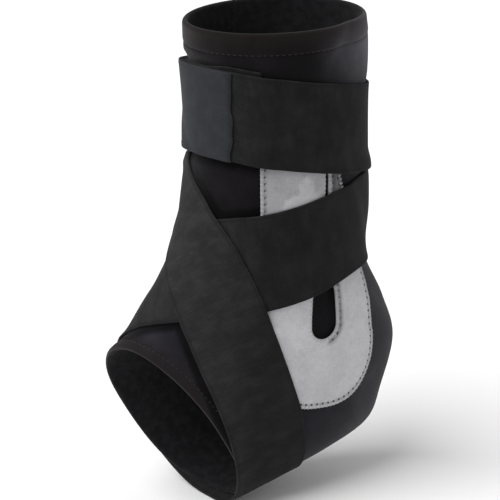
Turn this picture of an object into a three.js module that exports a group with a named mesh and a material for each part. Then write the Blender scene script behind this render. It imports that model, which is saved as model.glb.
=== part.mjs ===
// Ankle support: a knitted rubber-foam sleeve open at the leg and at the front of the foot,
// a slotted side panel, two wrapped straps, a leg strap and its closing tab.
// Millimetres. +Z runs up the leg, -Y points to the toes, +X is the outer side of the foot.
// The origin lies on the inside of the sole, on the centre line of the leg.

import * as THREE from 'three';

// Sleeve sizes
const LEG_DEPTH = 94; // leg opening, front to back
const LEG_WIDTH = 82; // leg opening, side to side
const LEG_RISE = 128; // from the bend of the ankle up to the leg opening
const ANKLE_RISE = 110; // from the sole up to the bend of the ankle
const HEEL_REACH = 68.3; // heel, behind the centre of the leg
const INSTEP_REACH = 84.5; // upper lip of the foot opening, ahead of the centre of the leg
const SOLE_REACH = 36; // sole edge of the foot opening, ahead of the centre of the leg
const SOLE_DROP = 13; // sole edge of the foot opening, below the middle of the sole
const FOOT_WIDTH = 73;
const OPENING_TURN = 20; // degrees that the foot opening is turned outwards
const WALL = 3;

// Panel sizes
const PANEL_THICKNESS = 1.6;
const PANEL_CENTRE = 7.5; // behind the centre of the leg
const PANEL_HALF_WIDTH = 33.3;
const PANEL_TOP = 178;
const PANEL_BEND_HEIGHT = 74; // level where the round bottom starts
const PANEL_BOTTOM_DEPTH = 36; // from that level to the lowest point
const PANEL_TILT = 0.08; // fall of the round bottom towards the heel
const PANEL_CORNER = 2.6; // power of its rounded corners, 2 for an ellipse
const SLOT_HALF_WIDTH = 7.5;
const SLOT_BEND_HEIGHT = 85;

// Strap sizes
const WEBBING_THICKNESS = 1.3;
const CROSS_STRAP_WIDTH = 50;
const FRONT_STRAP_WIDTH = 42;
const LEG_STRAP_WIDTH = 45.5;
const LEG_STRAP_HEIGHT = 188.2; // middle of the leg strap, on the centre line of the leg
const LEG_STRAP_SLOPE = 0.19; // fall of the leg strap for each step towards the back
const LEG_STRAP_ROLL = 0.05; // rise of the leg strap for each step towards the outer side
const LEG_STRAP_OVERLAP = 58; // length of the leg strap that lies on its own start
const LEG_STRAP_START = 56; // angle round the leg, 0 at the front, 90 on the outer side
const START_LIFT = 2; // the start of the leg strap stands this far above the turn over it
const START_LENGTH = 16; // length over which it does so, and again to sink back
const TAB_LENGTH = 66;
const TAB_THICKNESS = 1.2;
const TAB_END = 37; // angle round the leg of the tab's free edge

// Depth by which the foam of the sleeve gives way under the leg strap
const STRAP_PRESS = 1.1;
const TAB_PRESS = 1.8; // more of it under the tab, where the strap lies double
const PRESS_MARGIN = 4; // reach of the full depth beyond the edges of the strap
const PRESS_EDGE = 18; // length over which it recovers beside the strap
const PRESS_TURN = 30; // degrees over which it recovers beside the tab

// Clearance between neighbouring layers, and how a layer runs up over the one below
const GAP = 0.55;
const STEP_MARGIN = 7;
const STEP_RAMP = 12;

// Leg sections from the leg opening down. front and back are shares of LEG_DEPTH, the rises
// are shares of LEG_RISE above the bend of the ankle, width is a share of half of LEG_WIDTH.
const LEG_SECTIONS = [
  { front: 0.505, frontRise: 1.0, back: 0.495, backRise: 1.016, width: 1.012 },
  { front: 0.5, frontRise: 0.852, back: 0.516, backRise: 0.859, width: 1.0 },
  { front: 0.483, frontRise: 0.664, back: 0.508, backRise: 0.672, width: 0.971 },
  { front: 0.491, frontRise: 0.453, back: 0.514, backRise: 0.453, width: 0.966 },
  { front: 0.508, frontRise: 0.273, back: 0.529, backRise: 0.219, width: 0.951 },
  { front: 0.565, frontRise: 0.117, back: 0.526, backRise: 0.008, width: 0.927 },
];

// Foot sections, fanning from the ankle round the heel to the foot opening. front is a share
// of INSTEP_REACH and frontRise of ANKLE_RISE. back is a share of HEEL_REACH, or of
// SOLE_REACH where negative; backRise of ANKLE_RISE, or of SOLE_DROP where negative. width is
// a share of half of FOOT_WIDTH, turn of OPENING_TURN, square squares the corners of the sole.
const FOOT_SECTIONS = [
  {
    front: 0.746,
    frontRise: 0.968,
    back: 0.902,
    backRise: 0.764,
    width: 1.027,
    turn: 0.1,
    square: 0.0,
  },
  {
    front: 0.848,
    frontRise: 0.845,
    back: 1.0,
    backRise: 0.545,
    width: 1.014,
    turn: 0.25,
    square: 0.05,
  },
  {
    front: 0.911,
    frontRise: 0.782,
    back: 0.872,
    backRise: 0.3,
    width: 0.986,
    turn: 0.45,
    square: 0.2,
  },
  {
    front: 0.935,
    frontRise: 0.75,
    back: 0.708,
    backRise: 0.128,
    width: 0.973,
    turn: 0.65,
    square: 0.4,
  },
  {
    front: 0.953,
    frontRise: 0.727,
    back: 0.3,
    backRise: 0.016,
    width: 0.973,
    turn: 0.8,
    square: 0.5,
  },
  {
    front: 0.97,
    frontRise: 0.709,
    back: -0.278,
    backRise: -0.5,
    width: 0.986,
    turn: 0.9,
    square: 0.6,
  },
  {
    front: 1.0,
    frontRise: 0.682,
    back: -1.0,
    backRise: -1.0,
    width: 1.0,
    turn: 1.0,
    square: 0.7,
  },
];

// Soft dents and swells of the worn sleeve: place as section and angle, size as share of WALL
const DENTS = [
  { section: 5.3, angle: 128, depth: -0.6, along: 1.1, round: 20 },
  { section: 5.3, angle: -128, depth: -0.6, along: 1.1, round: 20 },
  { section: 6.6, angle: 92, depth: 0.5, along: 0.9, round: 16 },
  { section: 6.2, angle: -88, depth: 0.6, along: 0.9, round: 16 },
  { section: 0.7, angle: 118, depth: -0.35, along: 0.8, round: 14 },
  { section: 2.72, angle: -40, depth: -0.4, along: 0.45, round: 28 },
];

// Back edge of the panel and half the width of its slot at some heights, both as shares of
// PANEL_HALF_WIDTH and SLOT_HALF_WIDTH; height is a share of the leg between bend and top.
const PANEL_LEGS = [
  { height: 0.0, back: 0.985, slot: 1.0 },
  { height: 0.15, back: 1.0, slot: 1.0 },
  { height: 0.25, back: 0.955, slot: 0.94 },
  { height: 0.45, back: 0.77, slot: 0.55 },
  { height: 0.65, back: 0.52, slot: 0.22 },
  { height: 0.8, back: 0.3, slot: 0.12 },
  { height: 1.0, back: 0.16, slot: 0.1 },
];

// Routes of the two wrapped straps, from a start on the outer side. heading is the angle
// from straight down the sleeve. length is a share of ANKLE_RISE, bend is the sideways turn
// in degrees over that leg of the route, and the far end behind a tucked strap's start goes
// on under the leg strap.
const FRONT_ROUTE = {
  section: 6.447,
  angle: 47.3,
  heading: 41.4,
  tucked: true,
  behind: [
    { length: 0.545, bend: -16.5 },
    { length: 0.818, bend: 25.8 },
  ],
  ahead: [
    { length: 1.0, bend: -9.45 },
    { length: 0.764, bend: -14.44 },
  ],
};
const CROSS_ROUTE = {
  section: 4.548,
  angle: 97.3,
  heading: 105.8,
  tucked: false,
  behind: [
    { length: 0.4545, bend: 4.58 },
    { length: 0.4545, bend: -9.74 },
    { length: 0.818, bend: 0 },
  ],
  ahead: [
    { length: 0.6, bend: -24.2 },
    { length: 0.545, bend: 46.4 },
    { length: 0.436, bend: 0 },
  ],
};

// Mesh fineness
const SLEEVE_ROWS = [
  { until: 4, rows: 16 },
  { until: 8.5, rows: 16 },
  { until: LEG_SECTIONS.length + FOOT_SECTIONS.length - 1, rows: 6 },
];
const SLEEVE_COLUMNS = 40;
const STRAP_STEP = 6;
const STRAP_COLUMNS = 6;
const LEG_STRAP_COLUMNS = 4;
const PANEL_ROWS = 12;
const PANEL_ARC_ROWS = 16;
const PANEL_COLUMNS = 5;
const PROBE = 1e-3;
const HALVINGS = 40; // of the span in which a place is looked for
const TUCK_STEPS = 12; // most steps that a strap's end goes on to reach the leg strap

// Looking for a panel's place: number of steps, and how far one step may go
const SEEK_STEPS = 25;
const SEEK_PLACE = 1;
const SEEK_ANGLE = 0.3;

const rad = THREE.MathUtils.degToRad;
const clampTo = (value, most) => THREE.MathUtils.clamp(value, -most, most);
const turnBetween = (a, b) => Math.atan2(Math.sin(a - b), Math.cos(a - b));
const smooth = (t) => THREE.MathUtils.smoothstep(t, 0, 1);
const mix = (a, b, t) => a + (b - a) * t;
const squared = (c, s, power) => (Math.abs(c) ** power + Math.abs(s) ** power) ** (-1 / power);

// One section in millimetres: front and back points, half width, turn and corner squareness
function legSection(row) {
  return [
    -row.front * LEG_DEPTH,
    ANKLE_RISE + row.frontRise * LEG_RISE,
    row.back * LEG_DEPTH,
    ANKLE_RISE + row.backRise * LEG_RISE,
    (row.width * LEG_WIDTH) / 2,
    0,
    0,
  ];
}

function footSection(row) {
  return [
    -row.front * INSTEP_REACH,
    row.frontRise * ANKLE_RISE,
    row.back * (row.back < 0 ? SOLE_REACH : HEEL_REACH),
    row.backRise * (row.backRise < 0 ? SOLE_DROP : ANKLE_RISE),
    (row.width * FOOT_WIDTH) / 2,
    row.turn * rad(OPENING_TURN),
    row.square,
  ];
}

const LEG_RADIUS = (LEG_DEPTH + LEG_WIDTH) / 4;
const ANKLE = LEG_SECTIONS.length - 1; // the lowest section of the leg
const SECTIONS = [...LEG_SECTIONS.map(legSection), ...FOOT_SECTIONS.map(footSection)];
const LAST = SECTIONS.length - 1;

// Section at a fractional place, by a smooth curve through the rows
function sectionAt(place) {
  const i = Math.min(Math.max(Math.floor(place), 0), LAST - 1);
  const t = place - i;
  const row = (k) => SECTIONS[Math.min(Math.max(k, 0), LAST)];
  return SECTIONS[0].map((_, c) => {
    const b = row(i)[c];
    const d = row(i + 1)[c];
    const a = i > 0 ? row(i - 1)[c] : 2 * b - d;
    const e = i + 1 < LAST ? row(i + 2)[c] : 2 * d - b;
    const second = 2 * a - 5 * b + 4 * d - e;
    const third = 3 * b - a - 3 * d + e;
    return 0.5 * (2 * b + (d - a) * t + second * t ** 2 + third * t ** 3);
  });
}

// Outer face of the sleeve without its dents. angle is 0 at the front, 90 degrees outside.
function plainSkin(place, angle) {
  const [fy, fz, by, bz, half, turn, square] = sectionAt(place);
  const c = Math.cos(angle);
  const s = Math.sin(angle);
  const reach = squared(c, s, 2 + square * smooth(0.5 - 0.5 * c));
  const side = reach * s * half;
  return new THREE.Vector3(
    side * Math.cos(turn),
    (fy + by) / 2 + (reach * c * (fy - by)) / 2 + side * Math.sin(turn),
    (fz + bz) / 2 + (reach * c * (fz - bz)) / 2,
  );
}

// Slopes of the surface along the sleeve and round it, and its outward normal
function slopes(surface, place, angle) {
  const down = surface(place + PROBE, angle).sub(surface(place - PROBE, angle));
  const round = surface(place, angle + PROBE).sub(surface(place, angle - PROBE));
  down.divideScalar(2 * PROBE);
  round.divideScalar(2 * PROBE);
  const normal = down.clone().cross(round).normalize();
  return { down, round, normal };
}

function dentAt(place, angle) {
  let sum = 0;
  for (const dent of DENTS) {
    const a = (place - dent.section) / dent.along;
    const b = turnBetween(angle, rad(dent.angle)) / rad(dent.round);
    sum += dent.depth * WALL * Math.exp(-(a * a + b * b) / 2);
  }
  return sum;
}

function skin(place, angle) {
  const point = plainSkin(place, angle);
  return point.addScaledVector(slopes(plainSkin, place, angle).normal, dentAt(place, angle));
}

// Height that brings the inside of the sole, under the centre of the leg, to zero
function findSeat() {
  let low = (ANKLE + LAST) / 2;
  let high = LAST;
  for (let k = 0; k < HALVINGS; k += 1) {
    const middle = (low + high) / 2;
    if (skin(middle, Math.PI).y > 0) {
      low = middle;
    } else {
      high = middle;
    }
  }
  const { normal } = slopes(skin, low, Math.PI);
  return skin(low, Math.PI).z - WALL / normal.z;
}
const SEAT = findSeat();

// Height of a point above the sloping middle plane of the leg strap
function strapLevel(point) {
  const fall = LEG_STRAP_SLOPE * point.y - LEG_STRAP_ROLL * point.x;
  return point.z + fall - LEG_STRAP_HEIGHT;
}

// How far the sleeve and all on it are pressed in at a place on the leg
function pressAt(point, angle) {
  const beside = Math.abs(strapLevel(point)) - LEG_STRAP_WIDTH / 2 - PRESS_MARGIN;
  const halfTab = TAB_LENGTH / 2 / LEG_RADIUS;
  const besideTab = Math.abs(turnBetween(angle, rad(TAB_END) - halfTab)) - halfTab;
  const depth = STRAP_PRESS + TAB_PRESS * (1 - smooth(besideTab / rad(PRESS_TURN)));
  return depth * (1 - smooth(beside / PRESS_EDGE));
}

// A point lifted off the outer face of the sleeve, in the frame of the part
function lifted({ place, angle }, lift) {
  const point = skin(place, angle);
  const press = pressAt(point, angle);
  point.addScaledVector(slopes(skin, place, angle).normal, lift - press);
  point.z -= SEAT;
  return point;
}

// Closed solid between an inner and an outer grid of points; a ring closes on itself
function solid(inner, outer, ring = false) {
  const rows = inner.length;
  const columns = inner[0].length;
  const points = [...inner.flat(), ...outer.flat()];
  const shift = rows * columns;
  const at = (r, c) => r * columns + (c % columns);
  const index = [];
  const quad = (a, b, c, d) => index.push(a, b, c, a, c, d);
  const lastColumn = ring ? columns : columns - 1;
  for (let r = 0; r + 1 < rows; r += 1) {
    for (let c = 0; c < lastColumn; c += 1) {
      const [a, b, d, e] = [at(r, c), at(r + 1, c), at(r + 1, c + 1), at(r, c + 1)];
      quad(shift + a, shift + b, shift + d, shift + e);
      quad(a, e, d, b);
    }
  }
  for (let c = 0; c < lastColumn; c += 1) {
    const [a, b, d, e] = [at(0, c), at(0, c + 1), at(rows - 1, c), at(rows - 1, c + 1)];
    quad(a, shift + a, shift + b, b);
    quad(d, e, shift + e, shift + d);
  }
  for (let r = 0; r + 1 < rows && !ring; r += 1) {
    const [a, b, d, e] = [at(r, 0), at(r + 1, 0), at(r, columns - 1), at(r + 1, columns - 1)];
    quad(a, b, shift + b, shift + a);
    quad(d, shift + d, shift + e, e);
  }
  const geometry = new THREE.BufferGeometry();
  const numbers = points.flatMap((point) => point.toArray());
  geometry.setAttribute('position', new THREE.Float32BufferAttribute(numbers, 3));
  geometry.setIndex(index);
  geometry.computeVertexNormals();
  return geometry;
}

// Walks over the sleeve from one place in a direction, turning sideways by bend
function walk(start, direction, length, bend, steps) {
  const trail = [{ ...start, direction: direction.clone() }];
  const step = length / steps;
  let here = { ...start };
  const way = direction.clone();
  const rate = (spot) => {
    const { down, round, normal } = slopes(plainSkin, spot.place, spot.angle);
    way.addScaledVector(normal, -way.dot(normal)).normalize();
    const dd = down.dot(down);
    const dr = down.dot(round);
    const rr = round.dot(round);
    const a = way.dot(down);
    const b = way.dot(round);
    const scale = dd * rr - dr * dr;
    return { place: (a * rr - b * dr) / scale, angle: (b * dd - a * dr) / scale, normal };
  };
  const gone = (from, speed, far) => ({
    place: from.place + speed.place * far,
    angle: from.angle + speed.angle * far,
  });
  for (let k = 0; k < steps; k += 1) {
    const halfway = gone(here, rate(here), step / 2);
    here = gone(here, rate(halfway), step);
    const { normal } = rate(here);
    way.applyAxisAngle(normal, bend * step);
    trail.push({ ...here, direction: way.clone() });
  }
  return trail;
}

// Straight on from the end of a strap until the leg strap covers it
function tuckUnder(end) {
  const trail = [end];
  const short = ({ place, angle }) => strapLevel(plainSkin(place, angle)) < 0;
  for (let k = 0; k < TUCK_STEPS && short(trail[k]); k += 1) {
    trail.push(walk(trail[k], trail[k].direction, STRAP_STEP, 0, 1)[1]);
  }
  return trail.slice(1);
}

// Centre line of a wrapped strap, from its start to both of its ends
function routeLine(route) {
  const start = { place: route.section, angle: rad(route.angle) };
  const { down, normal } = slopes(plainSkin, start.place, start.angle);
  const heading = down.clone().normalize().applyAxisAngle(normal, rad(route.heading));
  const side = (legs, sign, tucked) => {
    let trail = [{ ...start, direction: heading.clone().multiplyScalar(sign) }];
    for (const leg of legs) {
      const last = trail[trail.length - 1];
      const length = leg.length * ANKLE_RISE;
      const bend = (rad(leg.bend) / length) * sign;
      const next = walk(last, last.direction, length, bend, Math.round(length / STRAP_STEP));
      trail = trail.concat(next.slice(1));
    }
    return tucked ? [...trail, ...tuckUnder(trail[trail.length - 1])] : trail;
  };
  const behind = side(route.behind, -1, route.tucked).slice(1).reverse();
  behind.forEach((spot) => spot.direction.negate());
  return [...behind, ...side(route.ahead, 1, false)];
}

// Places across a strap on each point of its centre line
function bandGrid(line, width, columns) {
  return line.map((spot) => {
    const { normal } = slopes(plainSkin, spot.place, spot.angle);
    const side = normal.clone().cross(spot.direction).normalize();
    const half = columns / 2;
    const left = walk(spot, side, width / 2, 0, half).slice(1);
    const right = walk(spot, side.negate(), width / 2, 0, half).slice(1);
    return [...right.reverse(), spot, ...left];
  });
}

// How far a point lies outside a strap: negative inside it
function outsideBand(line, width) {
  const knots = line.map((spot) => skin(spot.place, spot.angle));
  const last = knots.length - 1;
  return (point) => {
    let best = Infinity;
    let answer = Infinity;
    for (let k = 0; k < last; k += 1) {
      const along = knots[k + 1].clone().sub(knots[k]);
      const offset = point.clone().sub(knots[k]);
      const length = along.length();
      const t = offset.dot(along) / length;
      const near = Math.min(Math.max(t, 0), length);
      const gone = offset.clone().addScaledVector(along, -near / length).length();
      if (gone < best) {
        best = gone;
        const beyond = Math.max(k === 0 ? -t : 0, k === last - 1 ? t - length : 0);
        const aside = Math.sqrt(Math.max(gone * gone - beyond * beyond, 0));
        answer = Math.max(aside - width / 2, beyond > 0 ? beyond : -Infinity);
      }
    }
    return answer;
  };
}

// Front and back limits of the panel and half its slot at a height on its straight legs
function panelLimits(height) {
  const t = (height - PANEL_BEND_HEIGHT) / (PANEL_TOP - PANEL_BEND_HEIGHT);
  let k = 0;
  while (k + 2 < PANEL_LEGS.length && PANEL_LEGS[k + 1].height < t) {
    k += 1;
  }
  const [a, b] = [PANEL_LEGS[k], PANEL_LEGS[k + 1]];
  const share = THREE.MathUtils.clamp((t - a.height) / (b.height - a.height), 0, 1);
  return {
    back: mix(a.back, b.back, share) * PANEL_HALF_WIDTH,
    slot: mix(a.slot, b.slot, share) * SLOT_HALF_WIDTH,
  };
}

// Rows of the panel, down its front leg, round the bottom and up its back leg, each from
// the slot to the outer edge, as places seen from the outer side
function panelOutline() {
  const rows = [];
  const leg = (sign, t) => {
    const inner = mix(SLOT_BEND_HEIGHT, PANEL_TOP, t);
    const outer = mix(PANEL_BEND_HEIGHT, PANEL_TOP, t);
    const reach = sign < 0 ? PANEL_HALF_WIDTH : panelLimits(outer).back;
    return [
      [PANEL_CENTRE + sign * panelLimits(inner).slot, inner],
      [PANEL_CENTRE + sign * reach, outer],
    ];
  };
  for (let k = 0; k < PANEL_ROWS; k += 1) {
    rows.push(leg(-1, 1 - k / PANEL_ROWS));
  }
  for (let k = 0; k <= PANEL_ARC_ROWS; k += 1) {
    const turn = Math.PI * (1 + k / PANEL_ARC_ROWS);
    const c = Math.cos(turn);
    const s = Math.sin(turn);
    const reach = squared(c, s, PANEL_CORNER);
    const y = reach * c * PANEL_HALF_WIDTH;
    rows.push([
      [PANEL_CENTRE + c * SLOT_HALF_WIDTH, SLOT_BEND_HEIGHT + s * SLOT_HALF_WIDTH],
      [PANEL_CENTRE + y, PANEL_BEND_HEIGHT + reach * s * PANEL_BOTTOM_DEPTH - PANEL_TILT * y * -s],
    ]);
  }
  for (let k = 1; k <= PANEL_ROWS; k += 1) {
    rows.push(leg(1, k / PANEL_ROWS));
  }
  return rows;
}

// Place on the outer side of the sleeve that is seen at y and z from straight outside
function placeFromSide(y, z, guess) {
  let { place, angle } = guess;
  for (let k = 0; k < SEEK_STEPS; k += 1) {
    const here = plainSkin(place, angle);
    const { down, round } = slopes(plainSkin, place, angle);
    const scale = down.y * round.z - down.z * round.y;
    const dy = y - here.y;
    const dz = z - here.z;
    place += clampTo((dy * round.z - dz * round.y) / scale, SEEK_PLACE);
    angle += clampTo((down.y * dz - down.z * dy) / scale, SEEK_ANGLE);
  }
  return { place, angle };
}

function panelGrid() {
  let guess = { place: ANKLE / 2, angle: Math.PI / 2 };
  return panelOutline().map(([inner, outer]) => {
    const row = [];
    for (let c = 0; c <= PANEL_COLUMNS; c += 1) {
      const t = 1 - c / PANEL_COLUMNS;
      const y = mix(inner[0], outer[0], t);
      guess = placeFromSide(y, mix(inner[1], outer[1], t), guess);
      row.push(guess);
    }
    guess = row[0];
    return row;
  });
}

// How far a point of the outer side lies outside the panel's outer edge, seen from the side
function outsidePanel() {
  const edge = panelOutline().map((row) => row[1]);
  return (point) => {
    if (point.x < 0) {
      return Infinity;
    }
    let near = Infinity;
    let inside = false;
    for (let k = 0; k < edge.length; k += 1) {
      const [ay, az] = edge[k];
      const [by, bz] = edge[(k + 1) % edge.length];
      const length = (by - ay) ** 2 + (bz - az) ** 2;
      const t = length ? ((point.y - ay) * (by - ay) + (point.z - az) * (bz - az)) / length : 0;
      const share = THREE.MathUtils.clamp(t, 0, 1);
      const off = Math.hypot(point.y - mix(ay, by, share), point.z - mix(az, bz, share));
      near = Math.min(near, off);
      const crosses = az > point.z !== bz > point.z;
      if (crosses && point.y < mix(ay, by, (point.z - az) / (bz - az))) {
        inside = !inside;
      }
    }
    return inside ? -near : near;
  };
}

// Share of full cover a layer gives to what lies over it, at a distance outside its edge
const coverAt = (distance) => 1 - smooth((distance - STEP_MARGIN) / STEP_RAMP);

// Height of a layer's underside: the gap plus each lower layer it crosses
function underside(lower) {
  return (spot) => {
    const point = skin(spot.place, spot.angle);
    let lift = GAP;
    for (const { outside, thickness } of lower) {
      lift += coverAt(outside(point)) * (thickness + GAP);
    }
    return lift;
  };
}

function layerBetween(grid, lift, thickness) {
  const lifts = grid.map((row) => row.map(lift));
  const inner = grid.map((row, r) => row.map((spot, c) => lifted(spot, lifts[r][c])));
  const outer = grid.map((row, r) => row.map((spot, c) => lifted(spot, lifts[r][c] + thickness)));
  return solid(inner, outer);
}

const layer = (grid, lower, thickness) => layerBetween(grid, underside(lower), thickness);

// Section places of the sleeve's rows, closest together round the heel and instep
function sleevePlaces() {
  const places = [0];
  for (const { until, rows } of SLEEVE_ROWS) {
    const from = places[places.length - 1];
    for (let r = 1; r <= rows; r += 1) {
      places.push(mix(from, until, r / rows));
    }
  }
  return places;
}

function sleeveGeometry() {
  const row = (place, lift) => {
    const points = [];
    for (let c = 0; c < SLEEVE_COLUMNS; c += 1) {
      points.push(lifted({ place, angle: (2 * Math.PI * c) / SLEEVE_COLUMNS }, lift));
    }
    return points;
  };
  const grid = (lift) => sleevePlaces().map((place) => row(place, lift));
  return solid(grid(-WALL), grid(0), true);
}

// Place on the leg, at an angle, that lies at a height above the middle of the leg strap
function legStrapPlace(angle, level) {
  let low = 0;
  let high = ANKLE;
  for (let k = 0; k < HALVINGS; k += 1) {
    const middle = (low + high) / 2;
    if (strapLevel(plainSkin(middle, angle)) > level) {
      low = middle;
    } else {
      high = middle;
    }
  }
  return { place: low, angle };
}

// Angle reached after a length round the leg, measured along the middle of the leg strap
function angleAfter(startAngle, length) {
  const steps = Math.max(1, Math.round(length / STRAP_STEP));
  const at = (a) => skin(legStrapPlace(a, 0).place, a);
  let angle = startAngle;
  for (let k = 0; k < steps; k += 1) {
    const slope = at(angle).distanceTo(at(angle - PROBE)) / PROBE;
    angle -= length / steps / slope;
  }
  return angle;
}

// Grid round the leg between two angles, one row for each step
function legBand(fromAngle, toAngle, width, rise) {
  const steps = Math.round(((fromAngle - toAngle) * LEG_RADIUS) / STRAP_STEP);
  const rows = [];
  for (let k = 0; k <= steps; k += 1) {
    const angle = mix(fromAngle, toAngle, k / steps);
    const row = [];
    for (let c = 0; c <= LEG_STRAP_COLUMNS; c += 1) {
      const level = width * (0.5 - c / LEG_STRAP_COLUMNS);
      row.push(legStrapPlace(angle, level + rise((fromAngle - angle) * LEG_RADIUS)));
    }
    rows.push(row);
  }
  return rows;
}

const panelPlaces = panelGrid();
const crossLine = routeLine(CROSS_ROUTE);
const frontLine = routeLine(FRONT_ROUTE);
const panelLayer = { outside: outsidePanel(), thickness: PANEL_THICKNESS };
const webbingLayer = (line, width) => ({
  outside: outsideBand(line, width),
  thickness: WEBBING_THICKNESS,
});
const crossLayer = webbingLayer(crossLine, CROSS_STRAP_WIDTH);
const frontLayer = webbingLayer(frontLine, FRONT_STRAP_WIDTH);

function crossStrapGeometry() {
  const grid = bandGrid(crossLine, CROSS_STRAP_WIDTH, STRAP_COLUMNS);
  return layer(grid, [panelLayer], WEBBING_THICKNESS);
}

function frontStrapGeometry() {
  const grid = bandGrid(frontLine, FRONT_STRAP_WIDTH, STRAP_COLUMNS);
  return layer(grid, [panelLayer, crossLayer], WEBBING_THICKNESS);
}

// The leg strap starts on the outer side, goes once round the leg by the front and ends on
// top of its own start; its free end is covered by the tab.
const strapStart = rad(LEG_STRAP_START);
const strapEnd = angleAfter(strapStart - 2 * Math.PI, LEG_STRAP_OVERLAP);
const startRise = (gone) => START_LIFT * (1 - smooth((gone - START_LENGTH) / START_LENGTH));

function legStrapGeometry() {
  const grid = legBand(strapStart, strapEnd, LEG_STRAP_WIDTH, startRise);
  const below = underside([panelLayer, crossLayer, frontLayer]);
  const ownTurn = ({ angle }) => coverAt((angle - strapStart + 2 * Math.PI) * LEG_RADIUS);
  const lift = (spot) => below(spot) + ownTurn(spot) * (WEBBING_THICKNESS + GAP);
  return layerBetween(grid, lift, WEBBING_THICKNESS);
}

function tabGeometry() {
  const from = rad(TAB_END);
  const to = angleAfter(from, TAB_LENGTH);
  const grid = legBand(from, to, LEG_STRAP_WIDTH, () => 0);
  const below = underside([panelLayer, crossLayer, frontLayer]);
  const strapBelow = WEBBING_THICKNESS + GAP;
  const lastTurn = ({ angle }) => coverAt((strapEnd + 2 * Math.PI - angle) * LEG_RADIUS);
  const lift = (spot) => below(spot) + strapBelow * (1 + lastTurn(spot));
  return layerBetween(grid, lift, TAB_THICKNESS);
}

function piece(name, geometry, color, roughness) {
  const material = new THREE.MeshStandardMaterial({ color, roughness, metalness: 0 });
  const mesh = new THREE.Mesh(geometry, material);
  mesh.name = name;
  return mesh;
}

const ankleSupport = new THREE.Group();
ankleSupport.add(
  piece('sleeve', sleeveGeometry(), '#201f22', 0.75),
  piece('side_panel', layer(panelPlaces, [], PANEL_THICKNESS), '#a6a6a8', 0.95),
  piece('cross_strap', crossStrapGeometry(), '#232323', 0.85),
  piece('front_strap', frontStrapGeometry(), '#2b2c2b', 0.85),
  piece('leg_strap', legStrapGeometry(), '#262626', 0.85),
  piece('strap_tab', tabGeometry(), '#3b3c40', 0.7),
);

export default ankleSupport;
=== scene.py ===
"""Ankle support, dressed for a picture: foam sleeve, slotted side panel, two wrapped straps,
leg strap and closing tab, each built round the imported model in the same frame."""

import math

import bpy
import numpy as np
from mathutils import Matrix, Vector


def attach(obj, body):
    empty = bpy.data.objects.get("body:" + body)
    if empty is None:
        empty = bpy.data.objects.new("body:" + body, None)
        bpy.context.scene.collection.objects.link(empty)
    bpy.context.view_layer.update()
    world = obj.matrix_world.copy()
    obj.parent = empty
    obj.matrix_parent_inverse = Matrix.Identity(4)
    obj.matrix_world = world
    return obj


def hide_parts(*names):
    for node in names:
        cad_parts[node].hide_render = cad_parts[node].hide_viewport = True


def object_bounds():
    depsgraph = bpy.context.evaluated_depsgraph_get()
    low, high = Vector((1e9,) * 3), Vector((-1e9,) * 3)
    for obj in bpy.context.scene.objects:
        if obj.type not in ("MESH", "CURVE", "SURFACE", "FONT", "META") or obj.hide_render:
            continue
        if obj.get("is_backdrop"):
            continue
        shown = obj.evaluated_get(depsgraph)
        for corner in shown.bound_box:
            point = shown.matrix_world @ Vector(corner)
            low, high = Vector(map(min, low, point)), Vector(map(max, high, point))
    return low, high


bl_info = {
    "name": "Ankle Support",
    "version": (1, 0, 0),
    "blender": (4, 5, 0),
    "location": "View3D > Sidebar > Ankle Support",
    "description": "Builds an ankle support in cloth, foam and elastic webbing",
    "category": "Object",
}

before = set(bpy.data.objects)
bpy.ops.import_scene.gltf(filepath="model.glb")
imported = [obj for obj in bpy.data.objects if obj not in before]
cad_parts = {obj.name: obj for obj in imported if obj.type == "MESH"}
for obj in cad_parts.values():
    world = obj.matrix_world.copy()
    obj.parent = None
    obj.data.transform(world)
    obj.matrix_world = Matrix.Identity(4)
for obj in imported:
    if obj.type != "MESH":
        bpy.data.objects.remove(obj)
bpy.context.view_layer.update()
MM = 0.001

# ---------------------------------------------------------------------------
# Shape of the sleeve and routes of what lies on it
# ---------------------------------------------------------------------------

# Leg sections from the leg opening down. Shares of the leg depth, the leg rise above the
# bend of the ankle, and half of the leg width.
# front, rise of the front, back, rise of the back, width
LEG_SECTIONS = (
    (0.505, 1.0, 0.495, 1.016, 1.012),
    (0.5, 0.852, 0.516, 0.859, 1.0),
    (0.483, 0.664, 0.508, 0.672, 0.971),
    (0.491, 0.453, 0.514, 0.453, 0.966),
    (0.521, 0.273, 0.529, 0.219, 0.951),
    (0.56, 0.117, 0.526, 0.008, 0.927),
)

# Foot sections, fanning round the heel to the foot opening. Shares of the instep reach and
# ankle rise, then of the heel reach (the sole reach and drop where negative), half of the
# foot width and the turn of the opening; the last squares the corners of the sole.
# front, rise of the front, back, rise of the back, width, turn, squareness
FOOT_SECTIONS = (
    (0.738, 0.968, 0.902, 0.764, 1.027, 0.1, 0.0),
    (0.857, 0.845, 1.0, 0.545, 1.014, 0.25, 0.05),
    (0.911, 0.782, 0.872, 0.3, 0.986, 0.45, 0.2),
    (0.935, 0.75, 0.708, 0.128, 0.973, 0.65, 0.4),
    (0.953, 0.727, 0.3, 0.016, 0.973, 0.8, 0.5),
    (0.97, 0.709, -0.278, -0.5, 0.986, 0.9, 0.6),
    (1.0, 0.682, -1.0, -1.0, 1.0, 1.0, 0.7),
)

# Dents and swells of the worn sleeve: section, angle, depth as a share of the wall, reach
# along in sections, reach round in degrees
DENTS = (
    (5.3, 128, -0.6, 1.1, 20),
    (5.3, -128, -0.6, 1.1, 20),
    (6.6, 92, 0.5, 0.9, 16),
    (6.2, -88, 0.6, 0.9, 16),
    (0.7, 118, -0.35, 0.8, 14),
    (2.72, -40, -0.6, 0.32, 28),
)

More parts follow.
